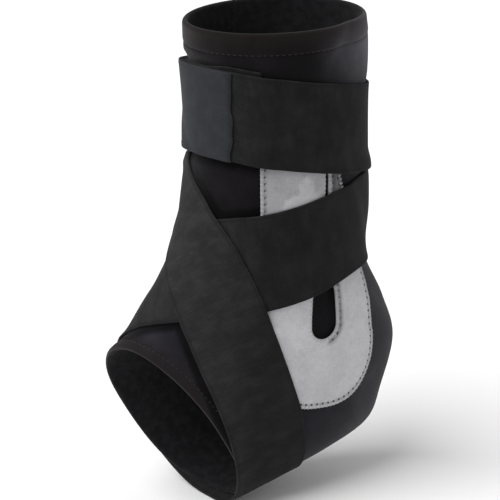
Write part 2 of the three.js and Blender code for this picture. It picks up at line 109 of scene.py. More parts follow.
# Soft creases of the foam: from section and angle, to section and angle, depth in
# millimetres (negative for a fold that stands up) and half width in millimetres
CREASES = (
    (-0.1, 126, 1.5, 96, 1.3, 4.5),
    (7.1, 20, 10.9, 68, 1.5, 3.6),
    (0.05, 62, 0.62, 84, 0.25, 3.0),
    (0.1, 20, 0.7, 44, 0.3, 3.5),
    (0.2, 150, 0.95, 168, -0.3, 4.0),
    (2.9, 24, 3.3, 46, 0.35, 3.0),
    (3.5, 18, 3.7, 40, 0.3, 2.5),
    (5.2, -16, 5.6, 22, 0.5, 3.0),
    (6.3, -24, 6.7, 14, 0.4, 2.6),
    (5.6, 140, 6.4, 158, 0.4, 3.5),
    (5.4, -150, 6.2, -132, 0.4, 3.5),
    (7.4, 128, 8.4, 112, 0.3, 4.0),
    (9.4, 70, 10.6, 60, 0.3, 3.5),
    (9.0, -80, 10.4, -66, 0.3, 3.5),
)

# Back edge of the panel and half of its slot up its legs: height as a share of the legs,
# then shares of the panel's and the slot's half widths
PANEL_LEGS = (
    (0.0, 0.985, 1.0),
    (0.15, 1.0, 1.0),
    (0.25, 0.955, 0.94),
    (0.45, 0.77, 0.55),
    (0.65, 0.52, 0.22),
    (0.8, 0.3, 0.12),
    (1.0, 0.16, 0.1),
)

# Rows of the sleeve and columns of the panel, closer together at their edges and seams:
# millimetres inside the edge, for hems and seams of the widths named
RIM_ROWS = (0, 0.1, 0.35, 0.8, 1.5, 2.4, 3.6)
LEG_HEM = 11 * MM
LEG_HEM_ROWS = (5, 6.5, 8, 9.2, 10, 10.4, 10.7, 11, 11.3, 11.6, 12, 12.8, 14)
FOOT_HEM = 5.5 * MM
FOOT_HEM_ROWS = (4.4, 4.9, 5.2, 5.5, 5.8, 6.1, 6.6, 7.6, 9)
SLEEVE_ROWS = 168
PANEL_SEAM = 2.4 * MM
PANEL_EDGE_ROWS = (0, 0.12, 0.4, 0.8, 1.3, 1.8, 2.1, 2.4, 2.7, 3.0, 3.6, 4.5)
PANEL_ROWS = 14

# Routes of the wrapped straps: start section, angle and heading from straight down, then
# the legs behind and ahead of the start as (length as a share of the ankle rise, sideways
# turn in degrees)
FRONT_ROUTE = {
    "section": 6.446,
    "angle": 47.2,
    "heading": 41.1,
    "tucked": True,
    "behind": ((0.27, -6.6), (0.275, -10.6), (0.818, 25.8)),
    "ahead": ((0.5, -0.3), (0.5, -13.4), (0.382, -0.5), (0.382, -6.1)),
}
CROSS_ROUTE = {
    "section": 4.524,
    "angle": 95.1,
    "heading": 110.8,
    "tucked": False,
    "behind": ((0.4545, 7.5), (0.4545, -9.74), (0.273, 8.8), (0.273, 3.4), (0.272, -0.4)),
    "ahead": ((0.3, -14.4), (0.3, -12.1), (0.3, 22.9), (0.245, 20.2), (0.436, 0.1)),
}

ANKLE = len(LEG_SECTIONS) - 1  # lowest section of the leg
LAST = len(LEG_SECTIONS) + len(FOOT_SECTIONS) - 1  # section of the foot opening
PROBE = 1e-3  # small step of place or angle that slopes are measured over
LINE_STEP = 2 * MM  # step along a strap's centre line
KNOT_SKIP = 2  # every second point of it is enough to measure distances from
TUCK_STEPS = 36  # most steps taken to tuck an end under the leg strap
HALVINGS = 40
SIDE_STEPS = 60
CHUNK = 3000  # points measured against a strap's line at a time
FLOOR_GAP = 0.4 * MM  # floor below the lowest point of the model


def dot(a, b):
    return (a * b).sum(-1)


def unit(a):
    return a / np.linalg.norm(a, axis=-1, keepdims=True)


def smooth(t):
    t = np.clip(t, 0.0, 1.0)
    return t * t * (3.0 - 2.0 * t)


def mix(a, b, t):
    return a + (b - a) * t


def squared(c, s, power):
    """Reach of a squared circle: an ellipse's at power 2, nearer its corners above."""
    return (np.abs(c) ** power + np.abs(s) ** power) ** (-1.0 / power)


def turn_between(a, b):
    """Angle from b to a, the short way round."""
    return np.arctan2(np.sin(a - b), np.cos(a - b))


def lengths_along(points, axis=0):
    """Running length along one axis of a grid of points."""
    steps = np.linalg.norm(np.diff(points, axis=axis), axis=-1)
    start = np.zeros_like(np.take(steps, [0], axis=axis))
    return np.concatenate([start, np.cumsum(steps, axis=axis)], axis=axis)


class Form:
    """The worn shape, from the sizes in the panel: the skin of the sleeve, the places of
    the straps and panel on it, and how high each layer stands."""

    def __init__(self, sizes):
        self.s = sizes
        self.sections = np.array(
            [self.leg_section(row) for row in LEG_SECTIONS]
            + [self.foot_section(row) for row in FOOT_SECTIONS]
        )
        self.creases = []
        for from_place, from_angle, to_place, to_angle, depth, width in CREASES:
            ends = self.plain_skin(
                np.array([from_place, to_place]), np.radians([from_angle, to_angle])
            )
            self.creases.append((ends[0], ends[1], depth * MM, width * MM))
        self.leg_radius = (sizes.leg_depth + sizes.leg_width) / 4
        self.seat = self.find_seat()
        self.strap_start = sizes.leg_strap_start
        self.strap_end = self.angle_after(
            self.strap_start - 2 * math.pi, sizes.leg_strap_overlap
        )

    def leg_section(self, row):
        """A leg section in metres: front y and z, back y and z, half width; no turn."""
        s = self.s
        front, front_rise, back, back_rise, width = row
        front_z = s.ankle_rise + front_rise * s.leg_rise
        back_z = s.ankle_rise + back_rise * s.leg_rise
        half = width * s.leg_width / 2
        return -front * s.leg_depth, front_z, back * s.leg_depth, back_z, half, 0.0, 0.0

    def foot_section(self, row):
        """A foot section in the same terms, with its turn and its squareness."""
        s = self.s
        front, front_rise, back, back_rise, width, turn, square = row
        back_y = back * (s.sole_reach if back < 0 else s.heel_reach)
        back_z = back_rise * (s.sole_drop if back_rise < 0 else s.ankle_rise)
        half = width * s.foot_width / 2
        front_z = front_rise * s.ankle_rise
        turn = turn * s.opening_turn
        return -front * s.instep_reach, front_z, back_y, back_z, half, turn, square

    def section_at(self, place):
        """Section at a fractional place, by a smooth curve through the rows."""
        rows = self.sections
        i = np.clip(np.floor(place).astype(int), 0, LAST - 1)
        t = (place - i)[..., None]
        b, d = rows[i], rows[i + 1]
        a = np.where((i > 0)[..., None], rows[np.maximum(i - 1, 0)], 2 * b - d)
        inside = (i + 1 < LAST)[..., None]
        e = np.where(inside, rows[np.minimum(i + 2, LAST)], 2 * d - b)
        second = 2 * a - 5 * b + 4 * d - e
        third = 3 * b - a - 3 * d + e
        return 0.5 * (2 * b + (d - a) * t + second * t**2 + third * t**3)

    def plain_skin(self, place, angle):
        """Outer face of the sleeve without its dents; angle 0 at the front, then outwards."""
        place, angle = np.broadcast_arrays(np.asarray(place, float), angle)
        front_y, front_z, back_y, back_z, half, turn, square = np.moveaxis(
            self.section_at(place), -1, 0
        )
        c, s = np.cos(angle), np.sin(angle)
        reach = squared(c, s, 2 + square * smooth(0.5 - 0.5 * c))
        side = reach * s * half
        return np.stack(
            [
                side * np.cos(turn),
                (front_y + back_y) / 2
                + reach * c * (front_y - back_y) / 2
                + side * np.sin(turn),
                (front_z + back_z) / 2 + reach * c * (front_z - back_z) / 2,
            ],
            axis=-1,
        )

    def slopes(self, surface, place, angle):
        """Slopes of a surface along and round the sleeve, and its outward normal."""
        down = surface(place + PROBE, angle) - surface(place - PROBE, angle)
        around = surface(place, angle + PROBE) - surface(place, angle - PROBE)
        return down / (2 * PROBE), around / (2 * PROBE), unit(np.cross(down, around))

    def dent_at(self, place, angle):
        """How far the skin is swelled out, or dented in where negative."""
        total = np.zeros(np.broadcast(place, angle).shape)
        for section, middle, depth, along, around in DENTS:
            a = (place - section) / along
            b = turn_between(angle, math.radians(middle)) / math.radians(around)
            total += depth * self.s.wall * np.exp(-(a * a + b * b) / 2)
        return total

    def crease_at(self, point):
        """Depth of the soft creases that pass a point of the skin."""
        total = np.zeros(point.shape[:-1])
        for start, end, depth, width in self.creases:
            along = end - start
            t = np.clip(dot(point - start, along) / dot(along, along), 0, 1)
            gone = np.linalg.norm(point - start - t[..., None] * along, axis=-1)
            fade = np.sin(np.pi * np.clip(t, 0.05, 0.95))
            ring = (gone / width) ** 2
            total += depth * fade * (1.6 * np.exp(-ring / 2) - 0.6 * np.exp(-ring / 8))
        return total

    def skin(self, place, angle):
        """Outer face of the sleeve with its dents and creases."""
        point = self.plain_skin(place, angle)
        normal = self.slopes(self.plain_skin, place, angle)[2]
        rise = self.dent_at(place, angle) - self.crease_at(point)
        return point + normal * rise[..., None]

    def find_seat(self):
        """Height that brings the inside of the sole, under the leg's middle, to zero."""
        low, high = (ANKLE + LAST) / 2, float(LAST)
        back = np.array(math.pi)
        for _ in range(HALVINGS):
            middle = (low + high) / 2
            if self.plain_skin(np.array(middle), back)[1] > 0:
                low = middle
            else:
                high = middle
        normal = self.slopes(self.skin, np.array(low), back)[2]
        return float(self.skin(np.array(low), back)[2] - self.s.wall / normal[2])

    def strap_level(self, point):
        """Height above the sloping middle plane of the leg strap."""
        s = self.s
        fall = s.leg_strap_slope * point[..., 1] - s.leg_strap_roll * point[..., 0]
        return point[..., 2] + fall - s.leg_strap_height

    def press_at(self, point, angle):
        """How far the foam, and all on it, gives way under the leg strap and tab."""
        s = self.s
        beside = np.abs(self.strap_level(point)) - s.leg_strap_width / 2 - s.press_margin
        half_tab = s.tab_length / 2 / self.leg_radius
        beside_tab = np.abs(turn_between(angle, s.tab_end - half_tab)) - half_tab
        depth = s.strap_press + s.tab_press * (1 - smooth(beside_tab / s.press_turn))
        return depth * (1 - smooth(beside / s.press_edge))

    def lifted(self, place, angle, lift):
        """Points lifted off the skin, in the frame of the part, and the skin's normals."""
        point = self.skin(place, angle)
        normal = self.slopes(self.skin, place, angle)[2]
        rise = np.asarray(lift) - self.press_at(point, angle)
        point = point + normal * rise[..., None]
        point[..., 2] -= self.seat
        return point, normal

    def pace(self, place, angle, way):
        """Change of place and angle for each metre gone in a direction."""
        down, around, normal = self.slopes(self.plain_skin, place, angle)
        way = unit(way - dot(way, normal)[..., None] * normal)
        dd, dr, rr = dot(down, down), dot(down, around), dot(around, around)
        a, b = dot(way, down), dot(way, around)
        scale = dd * rr - dr * dr
        return (a * rr - b * dr) / scale, (b * dd - a * dr) / scale, normal, way

    def walk(self, place, angle, way, steps, bends):
        """Places reached by walking over the skin, turning sideways by bends (1/m)."""
        trail = []
        for step, bend in zip(steps, bends):
            dp, da, _, way = self.pace(place, angle, way)
            dp, da, _, way = self.pace(place + dp * step / 2, angle + da * step / 2, way)
            place, angle = place + dp * step, angle + da * step
            _, _, normal, way = self.pace(place, angle, way)
            turn = bend * step
            way = way * math.cos(turn) + np.cross(normal, way) * math.sin(turn)
            trail.append((place, angle, way))
        return trail

    def route(self, route):
        """Centre line of a wrapped strap: places, angles and headings from end to end."""
        place = np.array(route["section"])
        angle = np.array(math.radians(route["angle"]))
        down, _, normal = self.slopes(self.plain_skin, place, angle)
        turn = math.radians(route["heading"])
        way = unit(down)
        way = way * math.cos(turn) + np.cross(normal, way) * math.sin(turn)
        sides = []
        for legs, sign, tucked in (
            (route["behind"], -1, route["tucked"]),
            (route["ahead"], 1, False),
        ):
            trail = [(place, angle, way * sign)]
            for share, degrees in legs:
                length = share * self.s.ankle_rise
                count = round(length / LINE_STEP)
                bend = sign * math.radians(degrees) / length
                trail += self.walk(*trail[-1], [length / count] * count, [bend] * count)
            for _ in range(TUCK_STEPS):
                short = self.strap_level(self.plain_skin(*trail[-1][:2])) < 0
                if not (tucked and short):
                    break
                trail += self.walk(*trail[-1], [LINE_STEP], [0.0])
            sides.append(trail)
        behind = [(p, a, -w) for p, a, w in sides[0][:0:-1]]
        line = behind + sides[1]
        return tuple(np.array([spot[k] for spot in line]) for k in range(3))

    def band(self, line, offsets):
        """Places across a strap at its side offsets, a row for each point of its line."""
        place, angle, way = line
        normal = self.slopes(self.plain_skin, place, angle)[2]
        side = unit(np.cross(normal, way))
        left = np.diff(np.concatenate([[0.0], offsets[offsets > 0]]))
        right = np.diff(np.concatenate([[0.0], -offsets[offsets < 0][::-1]]))
        far_left = self.walk(place, angle, side, left, [0.0] * len(left))
        far_right = self.walk(place, angle, -side, right, [0.0] * len(right))
        spots = [*far_right[::-1], (place, angle, way), *far_left]
        return (
            np.stack([spot[0] for spot in spots], axis=1),
            np.stack([spot[1] for spot in spots], axis=1),
        )

    def outside_band(self, line, width):
        """Distance outside a strap's edge, as a function of points of the skin."""
        knots = self.skin(line[0], line[1])[::KNOT_SKIP]
        along = np.diff(knots, axis=0)
        length = np.linalg.norm(along, axis=1)
        last = len(length) - 1

        def outside(points):
            flat = points.reshape(-1, 3)
            answer = np.empty(len(flat))
            for k in range(0, len(flat), CHUNK):
                part = flat[k : k + CHUNK]
                offset = part[:, None, :] - knots[None, :-1, :]
                t = (offset * along).sum(-1) / length
                near = np.clip(t, 0, length)
                rest = offset - (near / length)[..., None] * along
                gone = np.linalg.norm(rest, axis=-1)
                best = gone.argmin(axis=1)
                rows = np.arange(len(part))
                away = gone[rows, best]
                step = t[rows, best]
                beyond = np.where(best == 0, -step, -1.0)
                over = np.where(best == last, step - length[best], -1.0)
                beyond = np.maximum(np.maximum(beyond, over), 0)
                aside = np.sqrt(np.maximum(away**2 - beyond**2, 0)) - width / 2
                answer[k : k + CHUNK] = np.where(beyond > 0, np.maximum(aside, beyond), aside)
            return answer.reshape(points.shape[:-1])

        return outside

    def panel_limits(self, height):
        """Reach of the panel's back edge and half of its slot at a height."""
        s = self.s
        t = (height - s.panel_bend_height) / (s.panel_top - s.panel_bend_height)
        heights, backs, slots = np.array(PANEL_LEGS).T
        back = np.interp(t, heights, backs) * s.panel_half_width
        return back, np.interp(t, heights, slots) * s.slot_half_width

    def panel_outline(self, leg_rows, arc_rows):
        """Slot edge and outer edge of the panel, as (y, z) rows down its front leg, round
        its bottom and up its back leg."""
        s = self.s
        power = s.panel_corner
        inner, outer = [], []

        def leg(sign, t):
            low = mix(s.slot_bend_height, s.panel_top, t)
            high = mix(s.panel_bend_height, s.panel_top, t)
            reach = s.panel_half_width if sign < 0 else self.panel_limits(high)[0]
            inner.append((s.panel_centre + sign * self.panel_limits(low)[1], low))
            outer.append((s.panel_centre + sign * reach, high))

        for k in range(leg_rows):
            leg(-1, 1 - k / leg_rows)
        for k in range(arc_rows + 1):
            turn = math.pi * (1 + k / arc_rows)
            c, sn = math.cos(turn), math.sin(turn)
            reach = squared(c, sn, power)
            y = reach * c * s.panel_half_width
            fall = reach * sn * s.panel_bottom_depth + s.panel_tilt * y * sn
            inner.append(
                (
                    s.panel_centre + c * s.slot_half_width,
                    s.slot_bend_height + sn * s.slot_half_width,
                )
            )
            outer.append((s.panel_centre + y, s.panel_bend_height + fall))
        for k in range(1, leg_rows + 1):
            leg(1, k / leg_rows)
        return np.array(inner), np.array(outer)

    def from_side(self, y, z):
        """Places on the outer side that are seen at y and z from straight outside."""
        s = self.s
        drop = s.ankle_rise + s.leg_rise - z
        leg = np.clip(drop / s.leg_rise, 0, 1) * ANKLE
        place = leg + np.maximum(drop - s.leg_rise, 0) / (s.ankle_rise / 3)
        angle = math.pi / 2 + (y - s.panel_centre) / self.leg_radius
        for _ in range(SIDE_STEPS):
            here = self.plain_skin(place, angle)
            down, around, _ = self.slopes(self.plain_skin, place, angle)
            scale = down[..., 1] * around[..., 2] - down[..., 2] * around[..., 1]
            dy, dz = y - here[..., 1], z - here[..., 2]
            step = (dy * around[..., 2] - dz * around[..., 1]) / scale
            turn = (down[..., 1] * dz - down[..., 2] * dy) / scale
            place = place + np.clip(step, -0.5, 0.5)
            angle = angle + np.clip(turn, -0.2, 0.2)
        return place, angle

    def outside_panel(self):
        """Distance outside the panel's outer edge, seen from the side."""
        edge = self.panel_outline(leg_rows=24, arc_rows=32)[1]
        after = np.roll(edge, -1, axis=0)

        def outside(points):
            y, z = points[..., 1, None], points[..., 2, None]
            ay, az, by, bz = edge[:, 0], edge[:, 1], after[:, 0], after[:, 1]
            length = (by - ay) ** 2 + (bz - az) ** 2 + 1e-12
            t = np.clip(((y - ay) * (by - ay) + (z - az) * (bz - az)) / length, 0, 1)
            near = np.hypot(y - mix(ay, by, t), z - mix(az, bz, t)).min(axis=-1)
            cross_y = mix(ay, by, (z - az) / (bz - az + 1e-12))
            hits = ((az > z) != (bz > z)) & (y < cross_y)
            inside = hits.sum(axis=-1) % 2 == 1
            distance = np.where(inside, -near, near)
            return np.where(points[..., 0] < 0, np.inf, distance)

        return outside

    def cover(self, distance):
        """Share of its full height that a layer gives to what lies over it."""
        return 1 - smooth((distance - self.s.step_margin) / self.s.step_ramp)

    def underside(self, place, angle, lower):
        """Height of a layer's underside over the layers below it."""
        point = self.skin(place, angle)
        lift = np.full(point.shape[:-1], self.s.gap)
        for outside, thickness in lower:
            lift += self.cover(outside(point)) * (thickness + self.s.gap)
        return lift

    def level_place(self, angle, level):
        """Places on the leg at a height above the middle of the leg strap."""
        low = np.zeros(np.broadcast(angle, level).shape)
        high = np.full(low.shape, float(ANKLE))
        for _ in range(HALVINGS):
            middle = (low + high) / 2
            above = self.strap_level(self.plain_skin(middle, angle)) > level
            low, high = np.where(above, middle, low), np.where(above, high, middle)
        return low

    def angle_after(self, angle, length):
        """Angle reached after a length round the leg, along the middle of its strap."""
        count = max(1, round(length / (3 * LINE_STEP)))
        for _ in range(count):
            ends = np.array([angle, angle - PROBE])
            points = self.skin(self.level_place(ends, np.zeros(2)), ends)
            angle -= length / count / (np.linalg.norm(points[0] - points[1]) / PROBE)
        return float(angle)

    def layers(self):
        """What lies under the straps, from the panel up: distance outside it, thickness."""
        s = self.s
        cross = self.route(CROSS_ROUTE)
        front = self.route(FRONT_ROUTE)
        return {
            "cross_line": cross,
            "front_line": front,
            "panel": (self.outside_panel(), s.panel_thickness),
            "cross": (self.outside_band(cross, s.cross_strap_width), s.webbing_thickness),
            "front": (self.outside_band(front, s.front_strap_width), s.webbing_thickness),
        }


# ---------------------------------------------------------------------------
# Meshes
# ---------------------------------------------------------------------------


def edged_offsets(low, high, step, marks):
    """Positions from low to high, about a step apart, with those in marks set exactly."""
    stops = sorted({low, high, *[m for m in marks if low < m < high]})
    places = [np.array([low])]
    for a, b in zip(stops, stops[1:]):
        count = max(1, round((b - a) / step))
        places.append(np.linspace(a, b, count + 1)[1:])
    return np.concatenate(places)


def rounded(inset, radius):
    """Share of the half thickness that a rounded edge leaves at a distance inside it."""
    t = np.clip(inset / radius, 0, 1)
    return np.sqrt(np.clip(1 - (1 - t) ** 2, 0, 1)) * 0.82 + 0.18


def cloth_object(name, points, faces, tracks, materials, material_index=None):
    """A smooth mesh object with a texture track (a UV map in millimetres) for each name."""
    mesh = bpy.data.meshes.new(name)
    mesh.from_pydata(points.tolist(), [], faces)
    for material in materials:
        mesh.materials.append(material)
    if material_index is not None:
        mesh.polygons.foreach_set("material_index", material_index.astype(np.int32))
    for title, corners in tracks.items():
        layer = mesh.uv_layers.new(name=title)
        layer.data.foreach_set("uv", (corners / MM).astype(np.float32).ravel())
    mesh.polygons.foreach_set("use_smooth", np.ones(len(faces), bool))
    mesh.validate()
    mesh.update()
    piece = bpy.data.objects.new(name, mesh)
    bpy.context.scene.collection.objects.link(piece)
    return piece


def shell(name, inner, outer, tracks, materials, ring=False):
    """A closed piece of cloth between an inner and an outer grid of points. tracks hold
    texture coordinates for the grid, with one more column where it closes on itself."""
    rows, columns = inner.shape[:2]
    count = rows * columns
    points = np.concatenate([inner.reshape(-1, 3), outer.reshape(-1, 3)])
    last = columns if ring else columns - 1
    r, c = np.meshgrid(np.arange(rows - 1), np.arange(last), indexing="ij")
    r, c = r.ravel(), c.ravel()
    corner_r = np.stack([r, r + 1, r + 1, r], axis=1)
    corner_c = np.stack([c, c, c + 1, c + 1], axis=1)
    out = corner_r * columns + corner_c % columns + count
    inn = out[:, ::-1] - count
    groups = [(out, corner_r, corner_c, 0), (inn, corner_r[:, ::-1], corner_c[:, ::-1], 1)]

    def wall(ra, ca, rb, cb):
        a, b = ra * columns + ca % columns, rb * columns + cb % columns
        faces = np.stack([a, a + count, b + count, b], axis=1)
        at_r = np.stack([ra, ra, rb, rb], axis=1)
        at_c = np.stack([ca, ca, cb, cb], axis=1)
        groups.append((faces, at_r, at_c, 0))

    across = np.arange(last)
    zero = np.zeros(last, int)
    wall(zero, across, zero, across + 1)
    wall(zero + rows - 1, across + 1, zero + rows - 1, across)
    if not ring:
        down = np.arange(rows - 1)
        zero = np.zeros(rows - 1, int)
        wall(down + 1, zero, down, zero)
        wall(down, zero + columns - 1, down + 1, zero + columns - 1)
    faces = np.concatenate([g[0] for g in groups])
    at_r = np.concatenate([g[1] for g in groups])
    at_c = np.concatenate([g[2] for g in groups])
    index = np.concatenate([np.full(len(g[0]), g[3]) for g in groups])
    if len(materials) == 1:
        index = None
    corners = {key: track[at_r, at_c] for key, track in tracks.items()}
    return cloth_object(name, points, faces.tolist(), corners, materials, index)


def grid_normals(points):
    """Normals of a grid of points, on the side that row by column faces."""
    return unit(np.cross(np.gradient(points, axis=0), np.gradient(points, axis=1)))


def on_grid(points, rows, columns):
    """Points and normals at fractional rows and columns of a grid."""
    normals = grid_normals(points)
    r = np.clip(rows, 0, points.shape[0] - 1.001)
    c = np.clip(columns, 0, points.shape[1] - 1.001)
    i, j = r.astype(int), c.astype(int)
    t, w = (r - i)[..., None], (c - j)[..., None]

    def blend(field):
        top = mix(field[i, j], field[i, j + 1], w)
        return mix(top, mix(field[i + 1, j], field[i + 1, j + 1], w), t)

    return blend(points), unit(blend(normals))


def spaced(points, normals, pitch, closed=False):
    """Middles, directions and normals of stitches a pitch apart along a line of points."""
    if closed:
        points = np.concatenate([points, points[:1]])
        normals = np.concatenate([normals, normals[:1]])
    gone = lengths_along(points)
    count = max(1, round(gone[-1] / pitch))
    at = (np.arange(count) + 0.5) * gone[-1] / count
    half = 0.3 * pitch

    def sample(field, where):
        return np.stack([np.interp(where, gone, field[:, k]) for k in range(3)], axis=1)

    ahead, behind = sample(points, at + half), sample(points, at - half)
    return sample(points, at), unit(ahead - behind), unit(sample(normals, at))


def stitching(name, runs, length, radius, sink, material):
    """Thread stitches: small arched beads of thread along runs of (middle, way, normal)."""
    middles = np.concatenate([run[0] for run in runs])
    ways = np.concatenate([run[1] for run in runs])
    normals = np.concatenate([run[2] for run in runs])
    sides = unit(np.cross(ways, normals))
    normals = np.cross(sides, ways)
    rings, around = 7, 6
    t = np.linspace(-1, 1, rings)
    girth = np.sqrt(np.clip(1 - np.abs(t) ** 3.2, 0, 1)) * 0.9 + 0.1
    dive = -(np.abs(t) ** 3) * radius * 1.3
    turn = np.arange(around) * 2 * math.pi / around
    ring = np.stack([np.cos(turn), np.sin(turn)], axis=1)
    along = t * length / 2
    offset_side = girth[:, None] * ring[None, :, 0] * radius
    offset_up = girth[:, None] * ring[None, :, 1] * radius + dive[:, None] - sink
    points = (
        middles[:, None, None, :]
        + ways[:, None, None, :] * along[None, :, None, None]
        + sides[:, None, None, :] * offset_side[None, :, :, None]
        + normals[:, None, None, :] * offset_up[None, :, :, None]
    )
    each = rings * around
    body = np.array(
        [
            (low + a, low + b, low + b + around, low + a + around)
            for low in range(0, each - around, around)
            for a, b in zip(range(around), [*range(1, around), 0])
        ]
    )
    caps = np.array([range(around)[::-1], range(each - around, each)])
    first = (np.arange(len(middles)) * each)[:, None, None]
    sides = (body + first).reshape(-1, 4).tolist()
    ends = (caps + first).reshape(-1, around).tolist()
    return cloth_object(name, points.reshape(-1, 3), [*sides, *ends], {}, [material])


# ---------------------------------------------------------------------------
# Materials
# ---------------------------------------------------------------------------


class Field:
    """A value that varies over the cloth, reckoned with like a number."""

    def __init__(self, finish, socket):
        self.finish = finish
        self.socket = socket

    def __add__(self, other):
        return self.finish.calc("ADD", self, other)

    def __sub__(self, other):
        return self.finish.calc("SUBTRACT", self, other)

    def __mul__(self, other):
        return self.finish.calc("MULTIPLY", self, other)

    def __abs__(self):
        return self.finish.calc("ABSOLUTE", self)


class Finish:
    """A material being put together from nodes: each method adds a step and returns the
    field that it gives."""

    def __init__(self, name, roughness, sheen, sheen_tint, specular=0.12):
        self.material = bpy.data.materials.new(name)
        self.material.use_nodes = True
        self.tree = self.material.node_tree
        self.tree.nodes.clear()
        output = self.tree.nodes.new("ShaderNodeOutputMaterial")
        self.shader = self.tree.nodes.new("ShaderNodeBsdfPrincipled")
        self.tree.links.new(self.shader.outputs["BSDF"], output.inputs["Surface"])
        self.shader.inputs["Roughness"].default_value = roughness
        self.shader.inputs["Specular IOR Level"].default_value = specular
        self.shader.inputs["Sheen Weight"].default_value = sheen
        self.shader.inputs["Sheen Roughness"].default_value = 0.45
        self.shader.inputs["Sheen Tint"].default_value = (*sheen_tint[:3], 1)

    def node(self, kind, inputs, output=0, **settings):
        node = self.tree.nodes.new("ShaderNode" + kind)
        for key, value in settings.items():
            setattr(node, key, value)
        for key, value in inputs.items():
            if isinstance(value, Field):
                self.tree.links.new(value.socket, node.inputs[key])
            else:
                node.inputs[key].default_value = value
        return Field(self, node.outputs[output])

    def calc(self, operation, a, b=0.0):
        return self.node("Math", {0: a, 1: b}, operation=operation)

    def track(self, name):
        """A track and its two texture coordinates, in millimetres."""
        return self.parts(self.node("UVMap", {}, uv_map=name))[:3]

    def parts(self, vector):
        return vector, *(self.node("SeparateXYZ", {0: vector}, output=k) for k in range(3))

    def place(self):
        """Place on the object and its x, y and z, in metres."""
        return self.parts(self.node("TexCoord", {}, output="Object"))

    def noise(self, vector, scale, detail=2.0, roughness=0.5, stretch=None):
        if stretch:
            vector = self.node("Mapping", {"Vector": vector, "Scale": stretch})
        inputs = {"Vector": vector, "Scale": scale, "Detail": detail}
        inputs["Roughness"] = roughness
        return self.node("TexNoise", inputs, output="Fac")

    def ramp(self, value, low, high):
        """0 to 1 as a value goes from low to high."""
        inputs = {"Value": value, "From Min": low, "From Max": high}
        return self.node("MapRange", inputs, interpolation_type="SMOOTHSTEP")

    def sine(self, value):
        return self.calc("SINE", value)

    def wave(self, value, pitch):
        """0 to 1 and back over each pitch."""
        return self.sine(value * (2 * math.pi / pitch)) * 0.5 + 0.5

    def tint(self, factor, a, b):
        inputs = {"Factor": factor, 6: a, 7: b}
        return self.node("Mix", inputs, output=2, data_type="RGBA")

    def shade(self, colour, factor):
        """A colour made darker or lighter by a factor."""
        grey = self.node("CombineXYZ", {0: factor, 1: factor, 2: factor})
        inputs = {"Factor": 1.0, 6: colour, 7: grey}
        return self.node("Mix", inputs, output=2, data_type="RGBA", blend_type="MULTIPLY")

    def weave(self, u, v, warp, weft):
        """Height of a plain weave: warp threads side by side, crossed by weft threads."""
        row = self.calc("FLOOR", v * (1 / warp))
        odd = self.calc("MODULO", row, 2.0) * math.pi
        thread = abs(self.sine(v * (math.pi / warp)))
        return thread * (self.sine(u * (math.pi / weft) + odd) * 0.5 + 0.5)

    def finish(self, colour, height, depth, strength):
        """The material, with its colour and the height of its relief."""
        inputs = {"Height": height, "Distance": depth, "Strength": strength}
        bump = self.node("Bump", inputs)
        self.tree.links.new(colour.socket, self.shader.inputs["Base Color"])
        self.tree.links.new(bump.socket, self.shader.inputs["Normal"])
        return self.material


def rgba(colour, factor=1.0):
    return (*(channel * factor for channel in colour[:3]), 1.0)


def knitted_foam(looks):
    """Jersey-faced rubber foam: fine knit columns, warm at the hems, paler towards the heel
    where the stretched jersey has painted light on it, a painted sheen at the back and top
    right, and painted shade within the slot and painted shadow beside the straps."""
    f = Finish("knitted_foam", 0.85, 0.15, (0.85, 0.82, 0.86), 0.05)
    place, x, y, z = f.place()
    _, u, v = f.track("knit")
    column = abs(f.sine(u * (math.pi / 0.9)))
    knit = (f.wave(v + column * 0.9, 0.75) * 0.6 + 0.4) * column
    fuzz = f.noise(place, 2600.0, 3.0, 0.7)
    blotch = f.noise(place, 34.0, 4.0, 0.55)
    patch = f.noise(place, 9.0, 2.0, 0.5)
    # Paler towards the heel: the stretched jersey's own slate tone, with painted light on it.
    heel = rgba(looks.heel_tone_and_light, 1.15)
    base = f.tint(f.ramp(z, 0.15, 0.06), rgba(looks.sleeve_colour), heel)
    # Painted sheen: the back half of the sleeve is tinted lighter, where the light from behind
    # grazes it.
    base = f.tint(f.ramp(y, 0.004, 0.045), base, rgba(looks.back_sheen_colour))
    # Painted highlight: twice the sheen colour high up on the back, at the top right.
    top = f.ramp(y, -0.004, 0.04) * f.ramp(z, 0.2, 0.232)
    base = f.tint(top, base, rgba(looks.back_sheen_colour, 2.0))
    base = f.tint(f.ramp(blotch, 0.42, 0.72), base, f.shade(base, 1.8))
    base = f.tint(f.ramp(patch, 0.5, 0.75), base, rgba(looks.hem_colour))
    edge = f.ramp(f.track("rims")[1], looks.hem_fade / MM, 0.0)
    base = f.tint(edge * 0.75, base, rgba(looks.hem_colour))
    base = f.shade(base, f.noise(place, 110.0, 4.0, 0.6) * 0.7 + 0.62)
    # Painted shade: the foam that shows within the slot is darkened.
    slot = f.ramp(abs(y - looks.slot_shade_middle), 0.012, 0.009) * f.ramp(x, 0.0, 0.01)
    slot = slot * f.ramp(z, 0.118, 0.112) * f.ramp(z, 0.068, 0.074)
    base = f.shade(base, slot * -0.75 + 1.0)
    # Painted shadow: the foam just beside the front and cross straps, on the front half, is
    # darkened.
    beside = f.ramp(blotch * 4.0 + f.track("beside_straps")[1], 7.5, 4.5)
    base = f.shade(base, beside * f.ramp(y, 0.0, -0.02) * -0.78 + 1.0)
    base = f.shade(base, knit * 0.5 + 0.68)
    return f.finish(base, fuzz * 0.35 + knit, 0.12 * MM, 0.7)


def lining(looks):
    """Brushed lining: short loops with no direction."""
    f = Finish("brushed_lining", 0.92, 0.04, (0.8, 0.8, 0.8))
    place = f.place()[0]
    pile = f.noise(place, 1500.0, 3.0, 0.65)
    clump = f.ramp(f.noise(place, 260.0, 2.0, 0.5), 0.35, 0.7)
    base = f.tint(clump, rgba(looks.lining_colour, 0.75), rgba(looks.lining_colour, 1.25))
    return f.finish(f.shade(base, pile * 0.6 + 0.7), pile, 0.25 * MM, 0.8)


